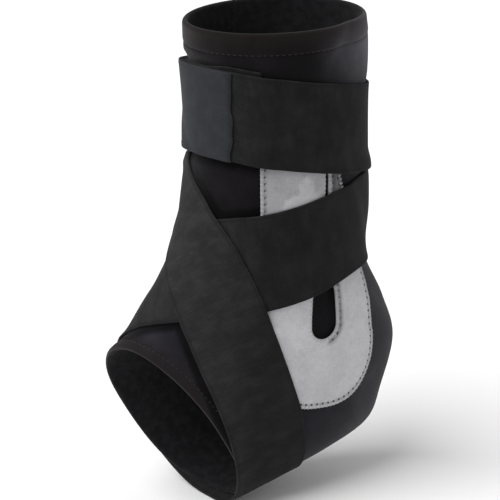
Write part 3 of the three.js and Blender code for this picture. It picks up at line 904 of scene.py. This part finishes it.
def elastic_webbing(name, colour, looks):
    """Woven elastic: fine ribs along the strap, crossed by weft, firm woven edges, the cloudy
    wear of a strap that is pulled and pressed, and painted light, lighter towards the front."""
    f = Finish(name, 0.85, 0.03, (0.88, 0.88, 0.88), 0.08)
    place, _, y, _ = f.place()
    uv, u, v = f.track("weave")
    inset = f.track("edges")[1]
    weave = f.weave(u, v, looks.rib_pitch / MM, looks.pick_pitch / MM)
    rib = f.wave(v, 4 * looks.rib_pitch / MM)
    fuzz = f.noise(place, 3000.0, 2.0, 0.7)
    wear = f.noise(uv, 0.1, 5.0, 0.62, stretch=(1.2, 0.8, 1.0))
    streak = f.noise(uv, 0.55, 3.0, 0.6, stretch=(1.0, 0.12, 1.0))
    grit = f.noise(uv, 1.3, 3.0, 0.7)
    base = f.tint(f.ramp(wear, 0.36, 0.7), rgba(colour, 0.82), rgba(colour, 1.3))
    for part in (
        f.noise(uv, 0.035, 3.0, 0.55) * 0.5 + 0.75,
        # Painted light: lighter towards the front, where the light from the left falls.
        f.ramp(y, -0.02, -0.058) * 0.6 + 0.84,
        streak * 0.5 + 0.75,
        grit * 0.7 + 0.65,
        weave * 0.28 + 0.82,
    ):
        base = f.shade(base, part)
    base = f.tint(f.ramp(inset, 2.6, 1.2) * 0.5, base, rgba(colour, 0.6))
    rub = f.ramp(inset, 0.9, 0.1) * f.ramp(wear, 0.35, 0.6)
    base = f.tint(rub * 0.55, base, rgba(colour, 1.6))
    relief = (fuzz + grit) * 0.4 + rib * 0.2 + weave * 0.7
    return f.finish(base, relief, 0.16 * MM, 0.7)


def brushed_cloth(looks):
    """Grey brushed nylon: crossed fibres, a lighter wedge high on the front leg, needle holes
    and pulled edges, painted shade along the fold beside the slot and on the top of the back
    leg."""
    colour = looks.panel_colour
    f = Finish("brushed_cloth", 0.9, 0.1, (0.9, 0.9, 0.95))
    _, _, y, z = f.place()
    uv = f.track("flat")[0]
    _, outer_in, outer_along = f.track("outer_edge")
    _, slot_in, slot_along = f.track("slot_edge")
    cloud = f.noise(uv, 0.16, 3.0, 0.55)
    strand = f.noise(uv, 1.1, 3.0, 0.65, stretch=(1.0, 0.3, 1.0))
    strand = strand + f.noise(uv, 1.0, 3.0, 0.65, stretch=(0.35, 1.0, 1.0))
    fibre = f.noise(uv, 3.5, 3.0, 0.75)
    # A lighter wedge high on the front leg.
    wedge = cloud * 0.012 + (z * -0.72 + 0.72 * 0.1665 - abs(y + 0.0045))
    wedge = f.ramp(wedge, 0.0034, 0.0078) * f.ramp(z, 0.1485, 0.153)
    base = f.tint(f.ramp(z, 0.165, 0.075), rgba(colour, 0.98), rgba(colour, 1.6))
    for part in (
        wedge * 0.3 + 1.0,
        f.ramp(f.noise(uv, 0.045, 2.0, 0.5), 0.42, 0.58) * 0.08 + 0.96,
        cloud * 0.26 + 0.87,
        strand * 0.3 + 0.7,
        fibre * 0.4 + 0.8,
    ):
        base = f.shade(base, part)
    seam = looks.panel_seam / MM

    def holes(inset, along):
        across = abs(inset - seam)
        beat = f.wave(along, looks.panel_pitch / MM) + cloud * 0.5
        spot = f.ramp(across, 0.95, 0.3) * f.ramp(beat, 0.84, 1.1)
        return f.calc("MAXIMUM", spot, f.ramp(across, 1.4, 0.3) * 0.22)

    beside = f.ramp(y, 0.0085, 0.0115)
    dark = holes(slot_in, slot_along) * beside
    dark = f.calc("MAXIMUM", dark, holes(outer_in, outer_along))
    # Painted shade along the fold beside the slot, on its back side.
    fold = f.ramp(abs(slot_in - seam), 3.2, 0.2) * beside
    base = f.shade(base, fold * -0.42 + 1.0)
    base = f.tint(dark, base, rgba(colour, 0.16))
    edge = f.ramp(f.calc("MINIMUM", outer_in, slot_in), 0.8, 0.0)
    base = f.tint(edge * 0.35, base, rgba(colour, 1.3))
    # Painted shade: the top of the back leg, under the straps, is darkened.
    leg = f.ramp(y, 0.0095, 0.0125) * f.ramp(z, 0.137, 0.15)
    base = f.shade(base, leg * -0.6 + 1.0)
    return f.finish(base, strand * 0.6 + fibre, 0.2 * MM, 0.5)


def tab_cloth(looks):
    """Slate brushed cloth of the tab: short nap over a fine rib."""
    colour = looks.tab_colour
    f = Finish("tab_cloth", 0.8, 0.05, (0.8, 0.85, 1.0))
    uv, u, _ = f.track("weave")
    nap = f.ramp(f.noise(uv, 0.12, 4.0, 0.6), 0.35, 0.7)
    fibre = f.noise(uv, 4.0, 3.0, 0.7)
    base = f.shade(f.tint(nap, rgba(colour, 0.88), rgba(colour, 1.15)), fibre * 0.35 + 0.82)
    return f.finish(base, f.wave(u, 1.0) * 0.35 + fibre, 0.12 * MM, 0.55)


def thread(name, colour):
    """Twisted thread."""
    f = Finish(name, 0.55, 0.1, colour, 0.4)
    twist = f.noise(f.place()[0], 3500.0, 1.0, 0.5)
    return f.finish(f.shade(rgba(colour), twist * 0.6 + 0.7), twist, 0.05 * MM, 0.6)


# ---------------------------------------------------------------------------
# Sizes and looks in the sidebar
# ---------------------------------------------------------------------------


def length(name, description, millimetres):
    return bpy.props.FloatProperty(
        name=name,
        description=description,
        default=millimetres * MM,
        unit="LENGTH",
        precision=4,
    )


def number(name, description, default):
    return bpy.props.FloatProperty(name=name, description=description, default=default)


def turning(name, description, degrees):
    return bpy.props.FloatProperty(
        name=name,
        description=description,
        default=math.radians(degrees),
        subtype="ANGLE",
        unit="ROTATION",
    )


def linear(code):
    """Linear channels of a #rrggbb colour."""
    channels = [int(code[k : k + 2], 16) / 255 for k in (1, 3, 5)]
    return [c / 12.92 if c <= 0.04045 else ((c + 0.055) / 1.055) ** 2.4 for c in channels]


def colour(name, description, code):
    return bpy.props.FloatVectorProperty(
        name=name,
        description=description,
        default=linear(code),
        size=3,
        min=0,
        max=1,
        subtype="COLOR",
    )


class ANKLE_PG_sizes(bpy.types.PropertyGroup):
    leg_depth: length("Leg depth", "Leg opening, front to back", 94)
    leg_width: length("Leg width", "Leg opening, side to side", 82)
    leg_rise: length("Leg rise", "From the bend of the ankle to the leg opening", 128)
    ankle_rise: length("Ankle rise", "From the sole to the bend of the ankle", 110)
    heel_reach: length("Heel reach", "Heel behind the centre of the leg", 68.3)
    instep_reach: length("Instep reach", "Upper lip of the foot opening", 84.5)
    sole_reach: length("Sole reach", "Sole edge ahead of the centre of the leg", 36)
    sole_drop: length("Sole drop", "Sole edge below the middle of the sole", 13)
    foot_width: length("Foot width", "Foot opening, side to side", 73)
    opening_turn: turning("Opening turn", "Outward turn of the foot opening", 20)
    wall: length("Wall", "Thickness of the foam", 3)
    hem: length("Leg hem", "From the leg opening to the seam of its hem", 11)
    foot_hem: length("Foot hem", "From the foot opening to the seam of its hem", 5.5)
    panel_thickness: length("Panel thickness", "Thickness of the side panel", 1.6)
    panel_centre: length("Panel centre", "Behind the centre of the leg", 7.5)
    panel_half_width: length("Panel half width", "Half width of the panel", 33.3)
    panel_top: length("Panel top", "Height of the hidden top edge", 178)
    panel_bend_height: length("Panel bend", "Level where the bottom turns round", 74)
    panel_bottom_depth: length("Panel bottom", "From there to the lowest point", 36)
    panel_tilt: number("Panel tilt", "Fall of the bottom towards the heel", 0.08)
    panel_corner: number("Panel corner", "Power of its corners, 2 for an ellipse", 2.6)
    slot_half_width: length("Slot half width", "Half width of the slot", 7.5)
    slot_bend_height: length("Slot bend", "Level where the slot turns round", 85)
    slot_sink: length("Slot sink", "Foam pressed back within the slot", 0.9)
    webbing_thickness: length("Webbing thickness", "Thickness of the straps", 1.3)
    cross_strap_width: length("Cross strap width", "Strap behind the ankle", 50)
    front_strap_width: length("Front strap width", "Strap over the instep", 42)
    leg_strap_width: length("Leg strap width", "Strap round the leg", 45.5)
    leg_strap_height: length("Leg strap height", "Middle of the leg strap", 188.2)
    leg_strap_slope: number("Leg strap slope", "Fall towards the back", 0.19)
    leg_strap_roll: number("Leg strap roll", "Rise towards the outer side", 0.05)
    leg_strap_start: turning("Leg strap start", "Angle of its start round the leg", 56)
    leg_strap_overlap: length("Leg strap overlap", "Lies on its own start", 58)
    start_lift: length("Start lift", "Start stands above the turn over it", 2)
    start_length: length("Start length", "Length over which it does", 16)
    tab_length: length("Tab length", "Closing tab", 66)
    tab_thickness: length("Tab thickness", "Thickness of the tab", 1.2)
    tab_end: turning("Tab end", "Angle of the tab's free edge", 37)
    tab_hem: length("Tab hem", "Width of the tab's hem", 6)
    strap_press: length("Strap press", "Foam gives way under the leg strap", 0.3)
    tab_press: length("Tab press", "And so much more under the tab", 1.6)
    press_margin: length("Press margin", "Full depth beyond the strap", 0.5)
    press_edge: length("Press edge", "Length over which it recovers", 5)
    press_turn: turning("Press turn", "Turn over which it recovers by the tab", 30)
    gap: length("Gap", "Between neighbouring layers", 0.3)
    step_margin: length("Step margin", "A layer stays raised beyond the one below", 1)
    step_ramp: length("Step ramp", "Length over which it comes down", 10)
    grain: length("Grain", "Step of the meshes", 1.5)


class ANKLE_PG_looks(bpy.types.PropertyGroup):
    sleeve_colour: colour("Sleeve", "Jersey of the sleeve", "#0d0b0d")
    # Heel tint: the stretched jersey's slate tone with painted light on it.
    heel_tone_and_light: colour("Heel", "Stretched jersey at the heel", "#1e1d22")
    # Back tint: painted sheen on the back and top right of the sleeve.
    back_sheen_colour: colour("Back", "Stretched jersey at the back", "#2b2a2e")
    hem_colour: colour("Hem", "Warm tint of the hems", "#1d1817")
    lining_colour: colour("Lining", "Inside of the sleeve", "#1c1c1e")
    strap_colour: colour("Straps", "Elastic webbing", "#1f1f1f")
    # Front strap: the same webbing a little lighter, painted light from the left.
    front_lit_colour: colour("Front strap", "Elastic webbing in front", "#222222")
    panel_colour: colour("Panel", "Brushed cloth", "#929194")
    tab_colour: colour("Tab", "Slate cloth of the tab", "#2a2b2e")
    thread_colour: colour("Thread", "Dark thread", "#100f10")
    panel_thread: colour("Panel thread", "Thread of the panel", "#9d9c9f")
    # Middle of the painted shade on the foam within the slot.
    slot_shade_middle: length("Slot middle", "Dark face of the foam within the slot", 7.5)
    hem_fade: length("Hem fade", "Reach of the warm tint from the openings", 14)
    rib_pitch: length("Rib pitch", "Between warp threads of the webbing", 1.1)
    pick_pitch: length("Pick pitch", "Between weft threads of the webbing", 0.8)
    panel_pitch: length("Panel stitch", "Pitch of the stitches of the panel", 3.5)
    panel_seam: length("Panel seam", "Stitches inside the edge of the panel", 2.4)
    hem_pitch: length("Hem stitch", "Pitch of the stitches of the hems", 3)


class ANKLE_PG_stage(bpy.types.PropertyGroup):
    azimuth: turning("Azimuth", "Of the camera, 0 looks along +Y", 62)
    elevation: turning("Elevation", "Of the camera above the horizon", 19)
    distance: length("Distance", "From the camera to its target", 1100)
    target_y: length("Target Y", "Point looked at", -12)
    target_z: length("Target Z", "Height of the point looked at", 113.2)
    lens: number("Lens", "Focal length in millimetres", 153.6)
    floor_colour: colour("Floor", "Floor", "#f6f6f6")
    sky: number("Sky", "Strength of the even light", 0.42)
    key: number("Key", "Strength of the broad light from the upper left", 3.1)
    rim: number("Rim", "Power of the light from behind on the right in watts", 2.5)


# ---------------------------------------------------------------------------
# Operators, one for each piece
# ---------------------------------------------------------------------------


def dress(piece, node):
    """The piece stands for a node of the part, rides with it and hides that node."""
    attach(piece, "root")
    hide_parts(node)


def trim(piece):
    """A detail that rides with the part and stands for no node."""
    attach(piece, "root")


def raised(form, place, angle, lift, thickness, share):
    """Inner and outer grids of a layer: its middle, with its thickness shared out."""
    middle = lift + thickness / 2
    inner = form.lifted(place, angle, middle - share * thickness / 2)[0]
    outer = form.lifted(place, angle, middle + share * thickness / 2)[0]
    return inner, outer


def strap_offsets(width, thickness, grain):
    """Side offsets across a strap, close together at its rounded edges."""
    near = [0.12 * thickness, 0.35 * thickness, 0.7 * thickness, 1.8 * MM, 2.4 * MM]
    marks = [sign * (width / 2 - d) for d in near for sign in (-1, 1)]
    return edged_offsets(-width / 2, width / 2, grain, [0.0, *marks])


def strap_relief(inset, thickness):
    """Share of a strap's thickness: rounded edges and a firmer woven border."""
    border = 0.06 * smooth((2.4 * MM - inset) / (0.6 * MM))
    return rounded(inset, 0.6 * thickness) * (1 + border)


def track(*fields):
    """Texture coordinates of a grid from its two fields."""
    return np.stack(fields, axis=-1)


def inset_of(u, v, width):
    """Distance inside the edges of a strap."""
    return np.minimum(width / 2 - np.abs(v), np.minimum(u, u[-1:] - u))


def webbing(form, name, node, width, gone, offsets, place, angle, lift, material):
    """A strap of webbing at its places and lift, stretched over the sleeve."""
    u, v = np.meshgrid(gone, offsets, indexing="ij")
    inset = inset_of(u, v, width)
    thickness = form.s.webbing_thickness
    share = strap_relief(inset, thickness)
    inner, outer = raised(form, place, angle, lift, thickness, share)
    tracks = {"weave": track(u, v), "edges": track(inset, u)}
    piece = shell(name, inner, outer, tracks, [material])
    dress(piece, node)


def wrapped_strap(form, name, node, line, width, lower, material):
    """A strap of webbing along its line, over the layers below it."""
    offsets = strap_offsets(width, form.s.webbing_thickness, form.s.grain)
    place, angle = form.band(line, offsets)
    lift = form.underside(place, angle, lower)
    gone = lengths_along(form.skin(line[0], line[1]))
    webbing(form, name, node, width, gone, offsets, place, angle, lift, material)


class ANKLE_OT_sleeve(bpy.types.Operator):
    """Build the foam sleeve with its hems and their stitching"""

    bl_idname = "ankle.sleeve"
    bl_label = "Sleeve"

    def execute(self, context):
        s, looks = context.scene.ankle_sizes, context.scene.ankle_looks
        form = Form(s)
        columns = round(2 * math.pi * form.leg_radius / (1.05 * s.grain))
        angle = np.linspace(0, 2 * math.pi, columns, endpoint=False)
        top = np.array([*RIM_ROWS, *LEG_HEM_ROWS]) * MM * s.hem / LEG_HEM
        low = np.array([*RIM_ROWS, *FOOT_HEM_ROWS]) * MM * s.foot_hem / FOOT_HEM
        top_pace, low_pace = (
            np.linalg.norm(form.slopes(form.plain_skin, end, angle)[0], axis=-1)
            for end in (0.0, float(LAST))
        )
        first = top[:, None] / top_pace
        last = LAST - low[::-1, None] / low_pace
        share = (np.arange(1, SLEEVE_ROWS) / SLEEVE_ROWS)[:, None]
        place = np.concatenate([first, mix(first[-1], last[0], share), last])
        around = np.broadcast_to(angle, place.shape)
        skin = form.skin(place, around)
        down = lengths_along(skin)
        rim = np.minimum(down, down[-1] - down)
        relief = self.hem_relief(down, s.hem) + self.hem_relief(down[-1] - down, s.foot_hem)
        relief = relief - s.slot_sink * self.within_slot(form, skin)
        half = rounded(rim, s.wall / 2) * s.wall / 2
        inner = form.lifted(place, around, -s.wall / 2 - half)[0]
        outer = form.lifted(place, around, -s.wall / 2 + half + relief)[0]
        closed = np.append(angle, 2 * math.pi) * form.leg_radius
        across = np.broadcast_to(closed, (len(place), len(closed)))
        layers = form.layers()
        # Distance outside the front and cross straps, for the painted shadow beside them.
        near = np.minimum(layers["front"][0](skin), layers["cross"][0](skin))

        def wrap(field):
            return np.concatenate([field, field[:, :1]], axis=1)

        tracks = {
            "knit": track(across, wrap(down)),
            "rims": track(wrap(rim), across),
            "beside_straps": track(wrap(near), across),
        }
        materials = [knitted_foam(looks), lining(looks)]
        sleeve = shell("sleeve_foam", inner, outer, tracks, materials, ring=True)
        dress(sleeve, "sleeve")
        normals = grid_normals(outer)
        hem_row = int(np.argmin(np.abs(top - s.hem)))
        low_row = len(place) - 1 - int(np.argmin(np.abs(low - s.foot_hem)))
        runs = [
            spaced(outer[row], normals[row], looks.hem_pitch, closed=True)
            for row in (hem_row, low_row)
        ]
        dark = thread("dark_thread", looks.thread_colour)
        stitches = stitching("hem_stitches", runs, 2.3 * MM, 0.28 * MM, 0.0, dark)
        trim(stitches)
        return {"FINISHED"}

    def hem_relief(self, inside, hem):
        """A hem puffed up between its edge and its seam, with a groove at the seam."""
        groove = np.exp(-(((inside - hem) / (0.55 * MM)) ** 2))
        puff = smooth(inside / (2 * MM)) * smooth((hem - inside) / (2 * MM))
        return 0.25 * MM * puff - 0.4 * MM * groove

    def within_slot(self, form, skin):
        """1 on the foam that shows in the slot of the panel, falling to 0 at its edges."""
        s = form.s
        x, y, z = np.moveaxis(skin, -1, 0)
        aside = smooth((s.slot_half_width - np.abs(y - s.panel_centre)) / (2 * MM))
        high = smooth((s.panel_bend_height + 60 * MM - z) / (10 * MM))
        low = smooth((z - form.seat - s.slot_bend_height + s.slot_half_width) / (3 * MM))
        return aside * high * low * (x > 0)


class ANKLE_OT_panel(bpy.types.Operator):
    """Build the slotted side panel and its stitching"""

    bl_idname = "ankle.panel"
    bl_label = "Side panel"

    def execute(self, context):
        s, looks = context.scene.ankle_sizes, context.scene.ankle_looks
        form = Form(s)
        inner_edge, outer_edge = form.panel_outline(leg_rows=170, arc_rows=150)
        seam = looks.panel_seam
        wide = np.linalg.norm(outer_edge - inner_edge, axis=1)[:, None]
        near = np.array(PANEL_EDGE_ROWS) * MM * seam / PANEL_SEAM
        core = near[-1] + (wide - 2 * near[-1]) * (np.arange(1, PANEL_ROWS) / PANEL_ROWS)
        edge = np.broadcast_to(near, (len(wide), len(near)))
        from_outer = np.concatenate([edge, core, wide - near[::-1]], axis=1)
        even = wide * np.linspace(0, 1, from_outer.shape[1])
        from_outer = np.where(wide < 2.2 * near[-1], even, from_outer)
        t = (from_outer / wide)[..., None]
        flat = mix(outer_edge[:, None], inner_edge[:, None], t)
        place, angle = form.from_side(flat[..., 0], flat[..., 1])
        lift = form.underside(place, angle, [])
        skin = form.skin(place, angle)
        outer_along = lengths_along(skin[:, 0])[:, None] + 0 * from_outer
        slot_along = lengths_along(skin[:, -1])[:, None] + 0 * from_outer
        breadth = lengths_along(skin, axis=1)
        outer_in, slot_in = breadth, breadth[:, -1:] - breadth
        inset = np.minimum(outer_in, slot_in)
        thick = s.panel_thickness
        groove = 0.0
        beside = smooth((skin[..., 1] - s.panel_centre - 1 * MM) / (3 * MM))
        seams = (outer_in, outer_along, 1.0), (slot_in, slot_along, beside)
        for distance, along, part in seams:
            line = part * np.exp(-(((distance - seam) / (0.7 * MM)) ** 2))
            hole = 0.5 + 0.5 * np.sin(2 * math.pi * along / looks.panel_pitch)
            groove = groove + line * (0.3 + 0.5 * smooth((hole - 0.7) / 0.26)) * MM * 0.7
        puff = 0.25 * MM * smooth((inset - seam) / (4 * MM))
        share = rounded(inset, 0.6 * thick)
        base = lift + thick / 2
        inner = form.lifted(place, angle, base - share * thick / 2)[0]
        outer = form.lifted(place, angle, base + share * thick / 2 + puff - groove)[0]
        tracks = {
            "flat": flat,
            "outer_edge": track(outer_in, outer_along),
            "slot_edge": track(slot_in, slot_along),
        }
        panel = shell("panel_cloth", inner, outer, tracks, [brushed_cloth(looks)])
        dress(panel, "side_panel")
        normals = grid_normals(outer)
        seam_column = int(np.argmin(np.abs(near - seam)))
        shift = outer.shape[1] - 1 - seam_column
        lined = beside[:, shift] > 0.5
        runs = [
            spaced(outer[:, seam_column], normals[:, seam_column], looks.panel_pitch),
            spaced(outer[lined, shift], normals[lined, shift], looks.panel_pitch),
        ]
        pale = thread("panel_thread", looks.panel_thread)
        stitches = stitching("panel_stitches", runs, 2.3 * MM, 0.25 * MM, 0.0, pale)
        trim(stitches)
        edge_runs = []
        for column in (3, outer.shape[1] - 4):
            middle, way, normal = spaced(outer[:, column], normals[:, column], 2.3 * MM)
            edge_runs.append((middle, unit(np.cross(normal, way) + 0.25 * way), normal))
        overlock = stitching("panel_overlock", edge_runs, 2.4 * MM, 0.3 * MM, 0.02 * MM, pale)
        trim(overlock)
        centre = (skin[:, 0] + skin[:, -1]) / 2
        return {"FINISHED"}


class ANKLE_OT_wrapped_straps(bpy.types.Operator):
    """Build the cross strap and the front strap"""

    bl_idname = "ankle.wrapped_straps"
    bl_label = "Wrapped straps"

    def execute(self, context):
        s, looks = context.scene.ankle_sizes, context.scene.ankle_looks
        form = Form(s)
        layers = form.layers()
        wrapped_strap(
            form,
            "cross_strap_webbing",
            "cross_strap",
            layers["cross_line"],
            s.cross_strap_width,
            [layers["panel"]],
            elastic_webbing("cross_webbing", looks.strap_colour, looks),
        )
        wrapped_strap(
            form,
            "front_strap_webbing",
            "front_strap",
            layers["front_line"],
            s.front_strap_width,
            [layers["panel"], layers["cross"]],
            # The front strap's webbing a little lighter: painted light from the left.
            elastic_webbing("front_webbing", looks.front_lit_colour, looks),
        )
        return {"FINISHED"}


def leg_grid(form, start, end, rise=None):
    """Places round the leg between two angles, a row for each step, with the length gone along
    and the side offsets.
    """
    s = form.s
    steps = round((start - end) * form.leg_radius / s.grain)
    offsets = strap_offsets(s.leg_strap_width, s.webbing_thickness, s.grain)
    angle = np.linspace(start, end, steps + 1)
    gone = (start - angle) * form.leg_radius
    row_angle, level = np.meshgrid(angle, -offsets, indexing="ij")
    if rise:
        level = level + rise(gone)[:, None]
    place = form.level_place(row_angle, level)
    return place, row_angle, gone, offsets


class ANKLE_OT_leg_strap(bpy.types.Operator):
    """Build the leg strap that closes on its own start"""

    bl_idname = "ankle.leg_strap"
    bl_label = "Leg strap"

    def execute(self, context):
        s, looks = context.scene.ankle_sizes, context.scene.ankle_looks
        form = Form(s)
        layers = form.layers()

        def rise(gone):
            return s.start_lift * (1 - smooth((gone - s.start_length) / s.start_length))

        place, angle, gone, offsets = leg_grid(form, form.strap_start, form.strap_end, rise)
        lift = form.underside(place, angle, [layers[k] for k in ("panel", "cross", "front")])
        over = (angle - form.strap_start + 2 * math.pi) * form.leg_radius
        lift = lift + form.cover(over) * (s.webbing_thickness + s.gap)
        material = elastic_webbing("leg_webbing", looks.strap_colour, looks)
        width = s.leg_strap_width
        names = "leg_strap_webbing", "leg_strap"
        webbing(form, *names, width, gone, offsets, place, angle, lift, material)
        return {"FINISHED"}


class ANKLE_OT_tab(bpy.types.Operator):
    """Build the bare closing tab with its hem and stitching"""

    bl_idname = "ankle.tab"
    bl_label = "Closing tab"

    def execute(self, context):
        s, looks = context.scene.ankle_sizes, context.scene.ankle_looks
        form = Form(s)
        layers = form.layers()
        end = form.angle_after(s.tab_end, s.tab_length)
        place, angle, gone, offsets = leg_grid(form, s.tab_end, end)
        wavy = 0.45 * MM * np.sin(offsets / (4.2 * MM))
        wavy += 0.3 * MM * np.sin(offsets / (1.9 * MM) + 1)
        fade = smooth(1 - gone / (14 * MM))[:, None]
        angle = angle + fade * wavy[None, :] / form.leg_radius
        lift = form.underside(place, angle, [layers[k] for k in ("panel", "cross", "front")])
        below = s.webbing_thickness + s.gap
        over = (form.strap_end + 2 * math.pi - angle) * form.leg_radius
        lift = lift + below * (1 + form.cover(over))
        u, v = np.meshgrid(gone, offsets, indexing="ij")
        share = rounded(inset_of(u, v, s.leg_strap_width), 0.6 * s.tab_thickness)
        hem = 0.3 * MM * smooth((s.tab_hem - u) / (0.5 * MM)) * smooth(u / (0.6 * MM))
        seam = 0.3 * MM * np.exp(-(((u - s.tab_hem - 3.4 * MM) / (0.6 * MM)) ** 2))
        middle = lift + s.tab_thickness / 2
        inner = form.lifted(place, angle, middle - share * s.tab_thickness / 2)[0]
        outer = form.lifted(place, angle, middle + share * s.tab_thickness / 2 + hem - seam)[0]
        tab = shell("tab_cloth", inner, outer, {"weave": track(u, v)}, [tab_cloth(looks)])
        dress(tab, "strap_tab")
        width = s.leg_strap_width
        side = width / 2 - 2 * MM
        far = gone[-1] - 2 * MM
        seams = [((at, -side), (at, side)) for at in (1.6 * MM, 5 * MM)]
        seams += [((8 * MM, at), (far, at)) for at in (side, -side)]
        runs = [self.run(outer, gone, offsets, *seam) for seam in seams]
        dark = thread("tab_thread", looks.thread_colour)
        stitches = stitching("tab_stitches", runs, 2.0 * MM, 0.22 * MM, 0.0, dark)
        trim(stitches)
        return {"FINISHED"}

    def run(self, outer, gone, offsets, start, end):
        """Stitches in a straight line on the face of the tab."""
        count = 60
        u = np.linspace(start[0], end[0], count)
        v = np.linspace(start[1], end[1], count)
        rows = np.interp(u, gone, np.arange(len(gone)))
        columns = np.interp(v, offsets, np.arange(len(offsets)))
        return spaced(*on_grid(outer, rows, columns), 2.6 * MM)


class ANKLE_OT_stage(bpy.types.Operator):
    """Set the floor, the lights and the camera"""

    bl_idname = "ankle.stage"
    bl_label = "Stage"

    def execute(self, context):
        stage = context.scene.ankle_stage
        scene = context.scene
        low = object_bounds()[0]
        self.floor(stage, low.z - FLOOR_GAP)
        target = Vector((0, stage.target_y, stage.target_z))
        a, e = stage.azimuth, stage.elevation
        back = Vector((math.sin(a) * math.cos(e), -math.cos(a) * math.cos(e), math.sin(e)))
        camera = bpy.data.objects.new("camera", bpy.data.cameras.new("camera"))
        camera.data.sensor_width = 36
        camera.data.lens = stage.lens
        camera.data.shift_x = -0.008
        camera.data.shift_y = 0.016
        camera.location = target + back * stage.distance
        camera.rotation_mode = "QUATERNION"
        camera.rotation_quaternion = (-back).to_track_quat("-Z", "Y")
        scene.collection.objects.link(camera)
        scene.camera = camera
        right = Vector((math.cos(a), math.sin(a), 0))
        up = Vector((0, 0, 1))
        key = bpy.data.lights.new("key", "SUN")
        key.energy = stage.key
        key.angle = math.radians(50)
        rim = bpy.data.lights.new("rim", "AREA")
        rim.energy = stage.rim
        rim.size = 1.0
        lights = (
            (key, back * 0.7 - right * 1.1 + up * 1.5),
            (rim, right * 1.3 - back * 0.25 + up * 0.55),
        )
        for light, place in lights:
            lamp = bpy.data.objects.new(light.name, light)
            lamp.location = target + place
            lamp.rotation_mode = "QUATERNION"
            lamp.rotation_quaternion = place.to_track_quat("Z", "Y")
            scene.collection.objects.link(lamp)
        world = bpy.data.worlds.new("even_light")
        world.use_nodes = True
        background = world.node_tree.nodes["Background"]
        background.inputs["Color"].default_value = (1, 1, 1, 1)
        background.inputs["Strength"].default_value = stage.sky
        scene.world = world
        scene.view_settings.view_transform = "Standard"
        return {"FINISHED"}

    def floor(self, stage, height):
        """A wide pale floor."""
        half = 6.0
        corners = [(-half, -half), (half, -half), (half, half), (-half, half)]
        mesh = bpy.data.meshes.new("floor")
        mesh.from_pydata([(x, y, height) for x, y in corners], [], [(0, 1, 2, 3)])
        f = Finish("floor", 0.9, 0.0, (1, 1, 1), 0.1)
        grain = f.noise(f.place()[0], 40.0)
        pale = f.tint(grain, rgba(stage.floor_colour), rgba(stage.floor_colour, 0.99))
        mesh.materials.append(f.finish(pale, grain, 0.02 * MM, 0.1))
        floor = bpy.data.objects.new("floor", mesh)
        bpy.context.scene.collection.objects.link(floor)
        floor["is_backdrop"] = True


class ANKLE_PT_panel(bpy.types.Panel):
    """Sizes, looks and build buttons of the ankle support"""

    bl_idname = "ANKLE_PT_panel"
    bl_label = "Ankle Support"
    bl_space_type = "VIEW_3D"
    bl_region_type = "UI"
    bl_category = "Ankle Support"

    def draw(self, context):
        for operator in OPERATORS:
            self.layout.operator(operator.bl_idname)
        for name in GROUPS:
            group = getattr(context.scene, name)
            box = self.layout.box()
            for key in group.__annotations__:
                box.prop(group, key)


OPERATORS = (
    ANKLE_OT_sleeve,
    ANKLE_OT_panel,
    ANKLE_OT_wrapped_straps,
    ANKLE_OT_leg_strap,
    ANKLE_OT_tab,
    ANKLE_OT_stage,
)
GROUPS = {
    "ankle_sizes": ANKLE_PG_sizes,
    "ankle_looks": ANKLE_PG_looks,
    "ankle_stage": ANKLE_PG_stage,
}


def register():
    for item in (*GROUPS.values(), *OPERATORS, ANKLE_PT_panel):
        bpy.utils.register_class(item)
    for name, group in GROUPS.items():
        setattr(bpy.types.Scene, name, bpy.props.PointerProperty(type=group))


def unregister():
    for name in GROUPS:
        delattr(bpy.types.Scene, name)
    for item in (ANKLE_PT_panel, *reversed(OPERATORS), *GROUPS.values()):
        bpy.utils.unregister_class(item)


def main():
    register()
    bpy.ops.ankle.sleeve()
    bpy.ops.ankle.panel()
    bpy.ops.ankle.wrapped_straps()
    bpy.ops.ankle.leg_strap()
    bpy.ops.ankle.tab()
    bpy.ops.ankle.stage()


if __name__ == "__main__":
    main()
